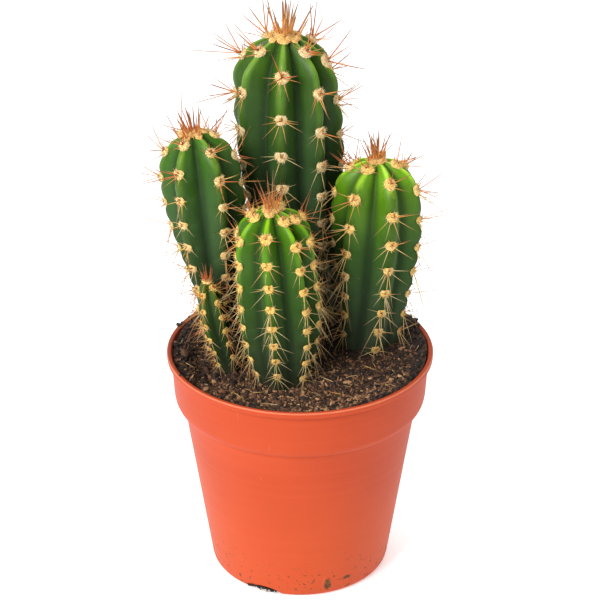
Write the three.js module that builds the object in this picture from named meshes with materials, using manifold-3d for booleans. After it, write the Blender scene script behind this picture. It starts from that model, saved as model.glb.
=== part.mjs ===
// Potted columnar cactus: five ribbed, spined stems in a moulded nursery pot filled with peat soil.
// Millimetres, +Z up. The origin is the centre of the pot's underside; -Y is the front.
import * as THREE from "three";
import { mergeVertices } from "three/addons/utils/BufferGeometryUtils.js";
import Module from "manifold-3d";

// Pot: a thin tapered shell with a wider band under a turned lip
const POT_HEIGHT = 118;
const RIM_RADIUS = 65;
const LIP_HEIGHT = 3.8;
const LIP_THICKNESS = 2.3;
const LIP_EDGE = 0.8;
const BAND_HEIGHT = 28.5;
const BAND_TOP_RADIUS = 63.6;
const BAND_LOW_RADIUS = 62.6;
const BAND_CURL_HEIGHT = 7.5;
const BAND_CURL_BELLY = 1.5;
const WALL_TOP_RADIUS = 57.4;
const BASE_RADIUS = 44;
const FOOT_CORNER = 3.5;
const FOOT_DRAFT = 0.5;
const WALL_THICKNESS = 1.2;
const FLOOR_THICKNESS = 1.6;
const CURVE_STEPS = 3;
const POT_SIDES = 48;

// Drainage notches cut through the foot of the wall
const NOTCH_COUNT = 3;
const NOTCH_BEARING = -25;
const NOTCH_WIDTH = 15;
const NOTCH_HEIGHT = 5.2;
const NOTCH_DEPTH = 7;
const NOTCH_SIDES = 16;

// Soil: highest at the back right, lowest at the left
const SOIL_LEVEL = 112.2;
const SOIL_RISE_RIGHT = 0.055;
const SOIL_RISE_BACK = 0.05;
const SOIL_LUMP = 1.3;
const SOIL_STRAY = 0.35;
const SOIL_RINGS = 8;
const GAP = 0.3;
const FACET_GAP = 0.2;
const HOLE_CLEARANCE = 0.6;
const HOLE_SIDES = 20;

// Stems. foot is the axis at soil level and tip the apex; bow pushes the axis sideways half way up.
// radii are crest radii at the foot, at one and two thirds of the way to the dome, and at its start.
// Each rib seen from the front is [bearing at the foot, bearing at the crown, stagger], in degrees
// from the front towards the right, with the stagger in areole steps; the rest are spread behind.
// first, pitch, shrink and leastPitch space the areoles along a crest, counted down from the apex.
const STEMS = [
  {
    name: "stem_tall",
    foot: [7.7, 38, 114],
    tip: [-7.5, 35, 264.7],
    bow: [-6.8, -0.5],
    radii: [14.5, 19.4, 24.7, 25.5],
    domeStart: 0.81,
    ribCount: 8,
    ribs: [[-128, -97, -0.15], [-91, -50, 0.5], [-22, -1, 0], [28, 43, 0.5], [92, 71, -0.1]],
    first: 5,
    pitch: 22.4,
    shrink: 0.775,
    leastPitch: 12.5,
    pad: 2.5,
    crown: 8,
    spine: 11.5,
    tuft: 13.5,
  },
  {
    name: "stem_left",
    foot: [-42.5, 14, 110],
    tip: [-50.1, 9, 226],
    bow: [8, 1],
    radii: [11.5, 11.4, 17.2, 19.7],
    domeStart: 0.8,
    ribCount: 6,
    ribs: [[-102, -84, 0.5], [-54, -25, 0], [15, 34, 0.45], [74, 87, 0.1]],
    first: 9.5,
    pitch: 14,
    shrink: 0.12,
    leastPitch: 10.5,
    pad: 2.1,
    crown: 6,
    spine: 9,
    tuft: 11,
  },
  {
    name: "stem_right",
    foot: [33.7, 12, 115],
    tip: [36.3, 12.2, 210.7],
    bow: [2.6, -0.2],
    radii: [14.1, 16.6, 20, 19.9],
    domeStart: 0.79,
    ribCount: 7,
    ribs: [[-118, -94, 0.25], [-63, -30, 0], [12, 22, 0.5], [78, 76, 0]],
    first: 9.7,
    pitch: 16.3,
    shrink: 0.46,
    leastPitch: 10.6,
    pad: 2.3,
    crown: 6,
    spine: 10,
    tuft: 12,
  },
  {
    name: "stem_front",
    foot: [-8.4, -19.7, 111.5],
    tip: [-13.3, -19.2, 199.3],
    bow: [0.6, 3.4],
    radii: [11.6, 17.8, 19.2, 18.4],
    domeStart: 0.76,
    ribCount: 8,
    ribs: [[-65, -63, 0.35], [-8, -11, 0], [50, 35, 0.45], [86, 67, 0.6]],
    first: 4.4,
    pitch: 13.9,
    shrink: 0.386,
    leastPitch: 8.9,
    pad: 2,
    crown: 5.5,
    spine: 9,
    tuft: 17,
  },
  {
    name: "stem_small",
    foot: [-34.6, -9.7, 111],
    tip: [-44.2, -7.7, 156.7],
    bow: [-2.7, 0.4],
    radii: [5.7, 5.6, 6.5, 4.5],
    domeStart: 0.86,
    ribCount: 5,
    ribs: [[-42, -33, 0.45], [52, 38, 0]],
    first: 4.8,
    pitch: 8.2,
    shrink: 0.12,
    leastPitch: 6.8,
    pad: 1.4,
    crown: 2.6,
    spine: 5,
    tuft: 7,
  },
];
const DOME_POWER = 2.3;
const FURROW_DEPTH = 0.25;
const FOOT_FURROW_DEPTH = 0.12;
const CREST_BULGE = 0.07;
const FURROW_FULL_AT = 0.35;
const SQUARE_AT = 0.25;
const ROOT_DEPTH = 16;
const COLLAR_DEPTH = 3;
const COLLAR_SHARE = 0.9;
const ROOT_SHARE = 0.72;
const BARE_FOOT = 2.5;
const COLUMNS_PER_RIB = 4;

// Areoles and spines. A pad is a low felted cushion with one spine from each of its five facets.
const PAD_SIDES = 5;
const PAD_FIRST_CORNER = -18;
const PAD_EDGE_RISE = 0.1;
const PAD_CORE = 0.38;
const PAD_CORE_RISE = 0.42;
const PAD_TOP_RISE = 0.52;
const UPRIGHT_FACET = 1;
const RADIAL_TILT = [52, 72];
const CENTRAL_TILT = [14, 32];
const CENTRAL_LENGTH = 1.5;
const OLD_DROOP = 0.3;
const SPINE_CLEARANCE = 0.85;
const STEM_CLEARANCE = 2;
const SOIL_CLEARANCE = 2.2;
const RIM_CLEARANCE = 2;
const NEAR_PAD = 40;
const NEAR_SPINE = 60;
const AIM_TRIES = 14;
const AIM_LIFT = 0.07;
const AIM_TRIM = 0.05;
const AZIMUTH_SPREAD = 40;
const LENGTH_SPREAD = [0.75, 1.25];

// The woolly crown: a cap with two rings of facets, each facet carrying one young spine
const CAP_OUTER = { corners: 16, width: 0.68, rise: 0.28 };
const CAP_INNER = { corners: 8, width: 0.3, rise: 0.5 };
const CAP_TOP_RISE = 0.6;
const TUFT_INNER_TILT = [6, 14];
const TUFT_OUTER_TILT = [20, 48];
const TUFT_LENGTH_SPREAD = [0.6, 1.15];

const wasm = await Module();
wasm.setup();

const UP = new THREE.Vector3(0, 0, 1);
const RIGHT = new THREE.Vector3(1, 0, 0);
const radians = THREE.MathUtils.degToRad;
const lerp = THREE.MathUtils.lerp;
const clamp = THREE.MathUtils.clamp;

// A repeatable draw between 0 and 1 for three whole numbers
function draw(a, b, c) {
  const wave = Math.sin(a * 127.1 + b * 311.7 + c * 74.7) * 43758.5453;
  return wave - Math.floor(wave);
}

function soilLevel(x, y) {
  return SOIL_LEVEL + SOIL_RISE_RIGHT * x + SOIL_RISE_BACK * y;
}

// A closed surface under construction: points, triangles, and the steps that add to them
class Skin {
  points = [];
  faces = [];

  point(at) {
    this.points.push(at);
    return this.points.length - 1;
  }

  ring(count, place) {
    return Array.from({ length: count }, (_, i) => this.point(place(i)));
  }

  // The band between two rings of the same count, the first one higher or nearer the middle
  band(high, low, skip = () => false) {
    high.forEach((_, i) => {
      const j = (i + 1) % high.length;
      if (skip(i)) return;
      this.faces.push([low[i], low[j], high[j]], [low[i], high[j], high[i]]);
    });
  }

  // A fan that closes a ring at one point, which the ring runs round anticlockwise
  fan(ring, middle) {
    return ring.map((id, i) => [id, ring[(i + 1) % ring.length], middle]);
  }

  // The strip between an outer and an inner loop of different counts, each with rising angles
  strip(outer, outerAngles, inner, innerAngles) {
    const made = [];
    const turn = 2 * Math.PI;
    const angleAt = (angles, k) => angles[k % angles.length] + turn * Math.floor(k / angles.length);
    let i = 0;
    let j = 0;
    while (i < outer.length || j < inner.length) {
      const nextOuter = (angleAt(outerAngles, i) + angleAt(outerAngles, i + 1)) / 2;
      const nextInner = (angleAt(innerAngles, j) + angleAt(innerAngles, j + 1)) / 2;
      const from = outer[i % outer.length];
      const hub = inner[j % inner.length];
      if (j === inner.length || (i < outer.length && nextOuter <= nextInner)) {
        made.push([from, outer[(i + 1) % outer.length], hub]);
        i += 1;
      } else {
        made.push([from, inner[(j + 1) % inner.length], hub]);
        j += 1;
      }
    }
    return made;
  }

  // A three-sided spine raised from a triangle
  spine([a, b, c], tip) {
    const end = this.point(tip);
    this.faces.push([a, b, end], [b, c, end], [c, a, end]);
  }

  middle(face) {
    const sum = new THREE.Vector3();
    face.forEach((id) => sum.add(this.points[id]));
    return sum.divideScalar(face.length);
  }

  geometry() {
    const geometry = new THREE.BufferGeometry().setFromPoints(this.points);
    geometry.setIndex(this.faces.flat());
    return geometry;
  }
}

// Solids for the cuts, and back
function solid(geometry) {
  const bare = geometry.clone();
  bare.deleteAttribute("normal");
  bare.deleteAttribute("uv");
  const merged = mergeVertices(bare, 1e-4);
  return new wasm.Manifold(
    new wasm.Mesh({
      numProp: 3,
      vertProperties: merged.getAttribute("position").array,
      triVerts: new Uint32Array(merged.index.array),
    }),
  );
}

function geometryOf(manifold) {
  const mesh = manifold.getMesh();
  const geometry = new THREE.BufferGeometry();
  geometry.setAttribute("position", new THREE.BufferAttribute(mesh.vertProperties, 3));
  geometry.setIndex(new THREE.BufferAttribute(mesh.triVerts, 1));
  return geometry;
}

// Pot
const BAND_FOOT = POT_HEIGHT - BAND_HEIGHT;
const BAND_LOW = BAND_FOOT + BAND_CURL_HEIGHT;
const LIP_FOOT = POT_HEIGHT - LIP_HEIGHT;
const POT_INSIDE = [
  [BASE_RADIUS - 2 * WALL_THICKNESS, FLOOR_THICKNESS],
  [WALL_TOP_RADIUS - WALL_THICKNESS, BAND_FOOT],
  [BAND_LOW_RADIUS - WALL_THICKNESS, BAND_LOW],
  [BAND_TOP_RADIUS - WALL_THICKNESS, LIP_FOOT],
  [RIM_RADIUS - LIP_THICKNESS, POT_HEIGHT - LIP_EDGE],
];

function insideRadius(z) {
  const above = POT_INSIDE.findIndex((point) => point[1] >= z);
  const k = above < 0 ? POT_INSIDE.length - 1 : Math.max(above, 1);
  const [r0, z0] = POT_INSIDE[k - 1];
  const [r1, z1] = POT_INSIDE[k];
  return lerp(r0, r1, (z - z0) / (z1 - z0));
}

function potGeometry() {
  const outside = new THREE.Path();
  outside.moveTo(0, 0);
  outside.lineTo(BASE_RADIUS - FOOT_CORNER, 0);
  outside.quadraticCurveTo(BASE_RADIUS, 0, BASE_RADIUS + FOOT_DRAFT, FOOT_CORNER);
  outside.lineTo(WALL_TOP_RADIUS, BAND_FOOT);
  outside.quadraticCurveTo(BAND_LOW_RADIUS, BAND_FOOT + BAND_CURL_BELLY, BAND_LOW_RADIUS, BAND_LOW);
  outside.lineTo(BAND_TOP_RADIUS, LIP_FOOT);
  outside.lineTo(RIM_RADIUS - LIP_EDGE / 2, LIP_FOOT + LIP_EDGE / 2);
  outside.lineTo(RIM_RADIUS, POT_HEIGHT - LIP_EDGE);
  outside.lineTo(RIM_RADIUS - LIP_EDGE, POT_HEIGHT);
  outside.lineTo(RIM_RADIUS - LIP_THICKNESS + LIP_EDGE / 2, POT_HEIGHT);
  const profile = outside.getPoints(CURVE_STEPS);
  [...POT_INSIDE].reverse().forEach(([r, z]) => profile.push(new THREE.Vector2(r, z)));
  profile.push(new THREE.Vector2(0, FLOOR_THICKNESS));
  const shell = new THREE.LatheGeometry(profile, POT_SIDES);
  shell.rotateX(Math.PI / 2);
  let pot = solid(shell);
  for (let i = 0; i < NOTCH_COUNT; i += 1) {
    const notch = new THREE.CylinderGeometry(1, 1, 2 * NOTCH_DEPTH, NOTCH_SIDES);
    notch.scale(NOTCH_WIDTH / 2, 1, NOTCH_HEIGHT);
    notch.translate(0, -BASE_RADIUS, 0);
    notch.rotateZ(radians(NOTCH_BEARING + (i * 360) / NOTCH_COUNT));
    pot = pot.subtract(solid(notch));
  }
  return geometryOf(pot);
}

// Soil: one crumbly-topped plug with a plain round hole for each stem
function soilGeometry() {
  const skin = new Skin();
  const around = (i) => (2 * Math.PI * i) / POT_SIDES;
  const surface = (radius, i, lump) => {
    const x = radius * Math.sin(around(i));
    const y = -radius * Math.cos(around(i));
    return new THREE.Vector3(x, y, soilLevel(x, y) + lump);
  };
  const outer = insideRadius(SOIL_LEVEL) - GAP - FACET_GAP;
  const top = skin.point(new THREE.Vector3(0, 0, SOIL_LEVEL));
  let upper = null;
  for (let k = 1; k <= SOIL_RINGS; k += 1) {
    const edge = k === SOIL_RINGS;
    const ring = skin.ring(POT_SIDES, (i) => {
      const lump = edge ? -SOIL_LUMP : SOIL_LUMP * (2 * draw(k, i, 9) - 1);
      const stray = edge ? 0 : SOIL_STRAY * (draw(k, i, 4) - 0.5);
      return surface((outer * (k + stray)) / SOIL_RINGS, i, lump);
    });
    if (upper) skin.band(upper, ring);
    else skin.faces.push(...skin.fan(ring, top));
    upper = ring;
  }
  for (const z of [BAND_LOW, BAND_FOOT, FLOOR_THICKNESS + GAP]) {
    const radius = insideRadius(z) - GAP - FACET_GAP;
    const ring = skin.ring(POT_SIDES, (i) => surface(radius, i, 0).setZ(z));
    skin.band(upper, ring);
    upper = ring;
  }
  const bottom = skin.point(new THREE.Vector3(0, 0, FLOOR_THICKNESS + GAP));
  skin.fan(upper, bottom).forEach(([a, b, c]) => skin.faces.push([b, a, c]));
  let soil = solid(skin.geometry());
  for (const stem of STEMS) {
    const hole = new THREE.CylinderGeometry(1, 1, 1, HOLE_SIDES);
    const radius = stem.radii[0] + HOLE_CLEARANCE;
    hole.rotateX(Math.PI / 2);
    hole.translate(0, 0, 0.5);
    hole.scale(radius, radius, 2 * ROOT_DEPTH);
    hole.translate(stem.foot[0], stem.foot[1], stem.foot[2] - ROOT_DEPTH - GAP);
    soil = soil.subtract(solid(hole));
  }
  return geometryOf(soil);
}

// The axis of a stem at t, 0 at the soil and 1 at the apex, with the two directions across it.
// The cross-sections lie level at the foot and turn square to the axis further up.
function axisFrame(stem, t) {
  const foot = new THREE.Vector3(...stem.foot);
  const tip = new THREE.Vector3(...stem.tip);
  const knee = foot.clone().lerp(tip, 0.5);
  knee.x += stem.bow[0];
  knee.y += stem.bow[1];
  const curve = new THREE.QuadraticBezierCurve3(foot, knee, tip);
  const along = curve.getTangent(clamp(t, 0, 1));
  const square = THREE.MathUtils.smoothstep(t, 0, SQUARE_AT);
  const axis = UP.clone().lerp(along, square).normalize();
  const across = RIGHT.clone().addScaledVector(axis, -axis.x).normalize();
  return { at: curve.getPoint(clamp(t, 0, 1)), axis, across, back: axis.clone().cross(across) };
}

// Radius of the rib crests: a cubic through the four radii, closed by the dome
function crestRadius(stem, t) {
  const x = (3 * clamp(t, 0, stem.domeStart)) / stem.domeStart;
  const [r0, r1, r2, r3] = stem.radii;
  const body =
    (-r0 * (x - 1) * (x - 2) * (x - 3)) / 6 +
    (r1 * x * (x - 2) * (x - 3)) / 2 -
    (r2 * x * (x - 1) * (x - 3)) / 2 +
    (r3 * x * (x - 1) * (x - 2)) / 6;
  const rise = clamp((t - stem.domeStart) / (1 - stem.domeStart), 0, 1);
  return body * Math.sqrt(1 - rise ** DOME_POWER);
}

// All ribs of a stem: those seen from the front, then the rest spread evenly behind
function allRibs(stem) {
  const ribs = stem.ribs.map(([foot, crown, stagger]) => ({ foot, crown, stagger }));
  const first = ribs[0];
  const last = ribs[ribs.length - 1];
  const hidden = stem.ribCount - ribs.length;
  for (let h = 1; h <= hidden; h += 1) {
    const share = h / (hidden + 1);
    ribs.push({
      foot: lerp(last.foot, first.foot + 360, share),
      crown: lerp(last.crown, first.crown + 360, share),
      stagger: 0.5 * ((Math.round(2 * last.stagger) + h) % 2),
    });
  }
  for (const rib of ribs) {
    rib.parity = Math.abs(Math.round(2 * rib.stagger)) % 2;
    rib.shift = rib.stagger - rib.parity / 2;
  }
  return ribs;
}

// Distances down the crest from the apex, as pairs of distance and t
function crestTable(stem) {
  const steps = 300;
  const table = [{ distance: 0, t: 1 }];
  let last = { radius: 0, at: new THREE.Vector3(...stem.tip) };
  for (let k = 1; k <= steps; k += 1) {
    const t = 1 - (k / steps) ** 2;
    const radius = crestRadius(stem, t);
    const at = axisFrame(stem, t).at;
    const step = Math.hypot(radius - last.radius, at.distanceTo(last.at));
    table.push({ distance: table[k - 1].distance + step, t });
    last = { radius, at };
  }
  return table;
}

function heightAt(table, distance) {
  const below = table.findIndex((row) => row.distance >= distance);
  const k = below < 0 ? table.length - 1 : Math.max(below, 1);
  const share = (distance - table[k - 1].distance) / (table[k].distance - table[k - 1].distance);
  return lerp(table[k - 1].t, table[k].t, clamp(share, 0, 1));
}

// Distance from the apex of the areole that is u steps down a crest
function areoleDistance(stem, u) {
  const turn = (stem.pitch - stem.leastPitch) / (2 * stem.shrink);
  const v = Math.min(u, turn);
  return stem.first + stem.pitch * v - stem.shrink * v * v + stem.leastPitch * (u - v);
}

// A point of the skin: distance down from the apex, place round the stem in ribs, and the share of
// an areole step since the last areole, which swells the crest between two areoles
function skinPoint(stem, ribs, table, distance, place, step) {
  const t = heightAt(table, distance);
  const frame = axisFrame(stem, t);
  const index = Math.floor(place);
  const phase = place - index;
  const rib = ribs[index % ribs.length];
  const next = ribs[(index + 1) % ribs.length];
  const turn = index + 1 >= ribs.length ? 360 : 0;
  const bearing = lerp(lerp(rib.foot, rib.crown, t), lerp(next.foot, next.crown, t) + turn, phase);
  const crest = Math.abs(Math.cos(Math.PI * phase));
  const depth = lerp(FOOT_FURROW_DEPTH, FURROW_DEPTH, THREE.MathUtils.smoothstep(t, 0, FURROW_FULL_AT));
  const swell = CREST_BULGE * Math.abs(Math.sin(Math.PI * step)) * crest * crest;
  const radius = crestRadius(stem, t) * (1 - depth * (1 - crest) + swell);
  const out = frame.across
    .clone()
    .multiplyScalar(Math.sin(radians(bearing)))
    .addScaledVector(frame.back, -Math.cos(radians(bearing)));
  return { at: frame.at.clone().addScaledVector(out, radius), out, t };
}

// Shortest distance between two spines, each with a root and a tip
function distanceBetween(first, second) {
  const along = first.tip.clone().sub(first.root);
  const other = second.tip.clone().sub(second.root);
  const apart = first.root.clone().sub(second.root);
  const a = along.lengthSq();
  const b = along.dot(other);
  const c = other.lengthSq();
  const d = along.dot(apart);
  const e = other.dot(apart);
  const spread = a * c - b * b;
  let s = spread > 1e-6 ? clamp((b * e - c * d) / spread, 0, 1) : 0;
  const u = clamp((b * s + e) / c, 0, 1);
  s = clamp((b * u - d) / a, 0, 1);
  return apart.addScaledVector(along, s).addScaledVector(other, -u).length();
}

const spines = [];
const pads = [];

// Whether a spine clears the soil, the rim, the other stems, the other pads and the spines so far
function isClear(spine, stem) {
  for (const share of [0.35, 0.7, 1]) {
    const at = spine.root.clone().lerp(spine.tip, share);
    if (at.z < soilLevel(at.x, at.y) + SOIL_CLEARANCE) return false;
    const reach = Math.hypot(at.x, at.y);
    if (at.z < POT_HEIGHT + RIM_CLEARANCE && reach > insideRadius(LIP_FOOT) - RIM_CLEARANCE) return false;
    for (const other of STEMS) {
      if (other === stem || at.z > other.tip[2]) continue;
      const t = (at.z - other.foot[2]) / (other.tip[2] - other.foot[2]);
      const radius = crestRadius(other, t) * (1 + CREST_BULGE) + STEM_CLEARANCE;
      if (at.distanceTo(axisFrame(other, t).at) < radius) return false;
    }
  }
  for (const pad of pads) {
    if (pad.areole === spine.areole || pad.at.distanceTo(spine.root) > NEAR_PAD) continue;
    const line = new THREE.Line3(spine.root, spine.tip);
    const nearest = line.closestPointToPoint(pad.at, true, new THREE.Vector3());
    if (nearest.distanceTo(pad.at) < pad.radius + SPINE_CLEARANCE / 2) return false;
  }
  return spines.every((other) => {
    if (other.areole === spine.areole || other.root.distanceTo(spine.root) > NEAR_SPINE) return true;
    return distanceBetween(spine, other) > SPINE_CLEARANCE;
  });
}

// Aims a spine from a facet until it is clear, bending it upwards and shortening it step by step
function growSpine(skin, stem, facet, areole, aim) {
  const root = skin.middle(facet);
  for (let attempt = 0; attempt < AIM_TRIES; attempt += 1) {
    const { direction, length } = aim(attempt);
    direction.addScaledVector(UP, AIM_LIFT * attempt).normalize();
    const reach = length * (1 - AIM_TRIM * attempt);
    const spine = { areole, root, tip: root.clone().addScaledVector(direction, reach) };
    if (isClear(spine, stem)) {
      spines.push(spine);
      skin.spine(facet, spine.tip);
      return;
    }
  }
  skin.faces.push(facet);
}

function growPad(skin, stem, areole, seed) {
  const { at, out, loop, tangent, age, pad } = areole;
  const normal = out.clone().addScaledVector(tangent, -out.dot(tangent)).normalize();
  const side = tangent.clone().cross(normal);
  const place = (radius, rise) => (i) => {
    const angle = radians(PAD_FIRST_CORNER + (360 * i) / PAD_SIDES);
    return at
      .clone()
      .addScaledVector(side, radius * Math.cos(angle))
      .addScaledVector(tangent, radius * Math.sin(angle))
      .addScaledVector(normal, rise);
  };
  const edge = skin.ring(PAD_SIDES, place(pad, PAD_EDGE_RISE * pad));
  const core = skin.ring(PAD_SIDES, place(PAD_CORE * pad, PAD_CORE_RISE * pad));
  const top = skin.point(at.clone().addScaledVector(normal, PAD_TOP_RISE * pad));
  const cornerAngles = edge.map((_, i) => radians(PAD_FIRST_CORNER + (360 * i) / PAD_SIDES));
  let last = -Math.PI;
  const loopAngles = loop.map((id) => {
    const offset = skin.points[id].clone().sub(at);
    let angle = Math.atan2(offset.dot(tangent), offset.dot(side));
    while (angle < last) angle += 2 * Math.PI;
    last = angle;
    return angle;
  });
  skin.faces.push(...skin.strip(loop, loopAngles, edge, cornerAngles));
  skin.band(core, edge);
  skin.fan(core, top).forEach((facet, i) => {
    const middle = PAD_FIRST_CORNER + (360 * (i + 0.5)) / PAD_SIDES;
    const central = i === UPRIGHT_FACET;
    const [least, most] = central ? CENTRAL_TILT : RADIAL_TILT;
    growSpine(skin, stem, facet, at, (attempt) => {
      const azimuth = radians(middle + AZIMUTH_SPREAD * (draw(seed, i, attempt) - 0.5));
      const tilt = radians(lerp(least, most, draw(seed, i, attempt + 20)));
      const direction = normal
        .clone()
        .multiplyScalar(Math.cos(tilt))
        .addScaledVector(side, Math.sin(tilt) * Math.cos(azimuth))
        .addScaledVector(tangent, Math.sin(tilt) * Math.sin(azimuth))
        .addScaledVector(UP, central ? 0 : -OLD_DROOP * age);
      const grown = stem.spine * lerp(...LENGTH_SPREAD, draw(seed, i, 41));
      return { direction, length: grown * (central ? CENTRAL_LENGTH : 1) };
    });
  });
}

// The woolly crown: a low cap whose facets carry the upright tuft of young spines
function growCrown(skin, stem, rim, seed) {
  const frame = axisFrame(stem, 1);
  const apex = new THREE.Vector3(...stem.tip);
  const cap = ({ corners, width, rise }, start) => {
    const angles = Array.from({ length: corners }, (_, i) => start + (2 * Math.PI * i) / corners);
    const base = skin.middle(rim).addScaledVector(frame.axis, rise * stem.crown);
    const radius = width * stem.crown;
    const ids = skin.ring(corners, (i) =>
      base
        .clone()
        .addScaledVector(frame.across, radius * Math.sin(angles[i]))
        .addScaledVector(frame.back, -radius * Math.cos(angles[i])),
    );
    return { ids, angles };
  };
  const rimAngles = [];
  rim.forEach((id, i) => {
    const offset = skin.points[id].clone().sub(apex);
    let angle = Math.atan2(offset.dot(frame.across), -offset.dot(frame.back));
    while (i > 0 && angle < rimAngles[i - 1]) angle += 2 * Math.PI;
    rimAngles.push(angle);
  });
  const outer = cap(CAP_OUTER, rimAngles[0]);
  const inner = cap(CAP_INNER, rimAngles[0]);
  const top = skin.point(skin.middle(rim).addScaledVector(frame.axis, CAP_TOP_RISE * stem.crown));
  skin.faces.push(...skin.strip(rim, rimAngles, outer.ids, outer.angles));
  const facets = [
    ...skin.fan(inner.ids, top),
    ...skin.strip(outer.ids, outer.angles, inner.ids, inner.angles),
  ];
  facets.forEach((facet, i) => {
    const outward = skin.middle(facet).sub(apex);
    outward.addScaledVector(frame.axis, -outward.dot(frame.axis));
    const tiltRange = facet.includes(top) ? TUFT_INNER_TILT : TUFT_OUTER_TILT;
    growSpine(skin, stem, facet, apex, () => {
      const tilt = radians(lerp(...tiltRange, draw(seed, i, 1)));
      const direction = frame.axis
        .clone()
        .multiplyScalar(Math.cos(tilt))
        .addScaledVector(outward.clone().normalize(), Math.sin(tilt));
      return { direction, length: stem.tuft * lerp(...TUFT_LENGTH_SPREAD, draw(seed, i, 3)) };
    });
  });
}

// The bare skin of a stem on a grid of crests, flanks and furrows, with its areoles left open
function stemSkin(stem) {
  const skin = new Skin();
  const ribs = allRibs(stem);
  const table = crestTable(stem);
  const columns = ribs.length * COLUMNS_PER_RIB;
  const length = table[table.length - 1].distance;
  const shiftAt = (i) => {
    const place = i / COLUMNS_PER_RIB;
    const index = Math.floor(place);
    return lerp(ribs[index].shift, ribs[(index + 1) % ribs.length].shift, place - index);
  };
  const highest = Math.max(...ribs.map((rib) => rib.shift));
  const lowest = Math.min(...ribs.map((rib) => rib.shift));
  const stepOf = (i, row) => {
    const rib = ribs[Math.round(i / COLUMNS_PER_RIB) % ribs.length];
    return (row - rib.parity) / 2;
  };
  const crown = skin.ring(columns, (i) =>
    skinPoint(stem, ribs, table, stem.crown, i / COLUMNS_PER_RIB, 0).at,
  );
  const rows = [];
  for (let row = 0; areoleDistance(stem, row / 2 + highest) < length - BARE_FOOT; row += 1) {
    if (areoleDistance(stem, row / 2 + lowest) < stem.crown + 0.9 * stem.pad) continue;
    const ids = skin.ring(columns, (i) => {
      const distance = areoleDistance(stem, row / 2 + shiftAt(i));
      return skinPoint(stem, ribs, table, distance, i / COLUMNS_PER_RIB, stepOf(i, row)).at;
    });
    rows.push({ row, ids });
  }
  const ground = skin.ring(columns, (i) =>
    skinPoint(stem, ribs, table, length, i / COLUMNS_PER_RIB, 0).at,
  );
  const root = (depth, share) => {
    const foot = new THREE.Vector3(...stem.foot);
    return skin.ring(columns, (i) => {
      const offset = skin.points[ground[i]].clone().sub(foot).setZ(0);
      return foot.clone().addScaledVector(offset.normalize(), share * stem.radii[0]).setZ(foot.z - depth);
    });
  };
  const collar = root(COLLAR_DEPTH, COLLAR_SHARE);
  const heelRing = root(ROOT_DEPTH, ROOT_SHARE);
  const rings = [crown, ...rows.map(({ ids }) => ids), ground, collar, heelRing];
  const areoles = [];
  rows.forEach(({ row, ids }, k) => {
    ribs.forEach((rib, r) => {
      if ((row - rib.parity) % 2 !== 0) return;
      const i = r * COLUMNS_PER_RIB;
      const left = (i + columns - 1) % columns;
      const right = i + 1;
      const above = rings[k];
      const below = rings[k + 2];
      const distance = areoleDistance(stem, row / 2 + rib.shift);
      const upper = skinPoint(stem, ribs, table, distance - 1, r, 0).at;
      const lower = skinPoint(stem, ribs, table, distance + 1, r, 0);
      const at = skin.points[ids[i]];
      const width = at.distanceTo(skin.points[ids[right]]);
      areoles.push({
        ring: k + 1,
        column: i,
        at,
        out: lower.out,
        tangent: upper.sub(lower.at).normalize(),
        age: 1 - lower.t,
        pad: Math.min(stem.pad, 0.8 * width, 0.9 * at.distanceTo(skin.points[above[i]])),
        loop: [
          ids[right], above[right], above[i], above[left],
          ids[left], below[left], below[i], below[right],
        ],
      });
    });
  });
  const open = new Set(areoles.map(({ ring, column }) => `${ring},${column}`));
  rings.slice(1).forEach((low, k) => {
    skin.band(rings[k], low, (i) => {
      const corners = [[k, i], [k + 1, i], [k, (i + 1) % columns], [k + 1, (i + 1) % columns]];
      return corners.some(([ring, column]) => open.has(`${ring},${column}`));
    });
  });
  const heel = skin.point(new THREE.Vector3(...stem.foot).setZ(stem.foot[2] - ROOT_DEPTH));
  skin.fan(heelRing, heel).forEach(([a, b, c]) => skin.faces.push([b, a, c]));
  return { skin, crown, areoles };
}

// Materials
const terracottaPlastic = new THREE.MeshStandardMaterial({ color: 0xd9583a, roughness: 0.45, metalness: 0 });
const peat = new THREE.MeshStandardMaterial({ color: 0x3a2a20, roughness: 0.95, metalness: 0 });
const cactusSkin = () => new THREE.MeshStandardMaterial({ color: 0x3f6b35, roughness: 0.5, metalness: 0 });

function piece(name, geometry, material) {
  const mesh = new THREE.Mesh(geometry, material);
  mesh.name = name;
  return mesh;
}

const group = new THREE.Group();
group.add(piece("pot", potGeometry(), terracottaPlastic));
group.add(piece("soil", soilGeometry(), peat));
const bodies = STEMS.map((stem) => ({ stem, ...stemSkin(stem) }));
bodies.forEach(({ areoles }) =>
  areoles.forEach(({ at, pad }) => pads.push({ areole: at, at, radius: pad })),
);
bodies.forEach(({ stem, skin, crown }, s) => growCrown(skin, stem, crown, 100 * s));
bodies.forEach(({ stem, skin, areoles }, s) =>
  areoles.forEach((areole, i) => growPad(skin, stem, areole, 1000 * s + i)),
);
bodies.forEach(({ stem, skin }) => group.add(piece(stem.name, skin.geometry(), cactusSkin())));

export default group;
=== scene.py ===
# A potted columnar cactus: five ribbed, spined stems in a thin terracotta-coloured nursery pot.
# Sizes are in millimetres, as in the part's source; a mesh is made in metres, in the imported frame.
import math

import bpy
import numpy as np
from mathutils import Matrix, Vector, noise


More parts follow.
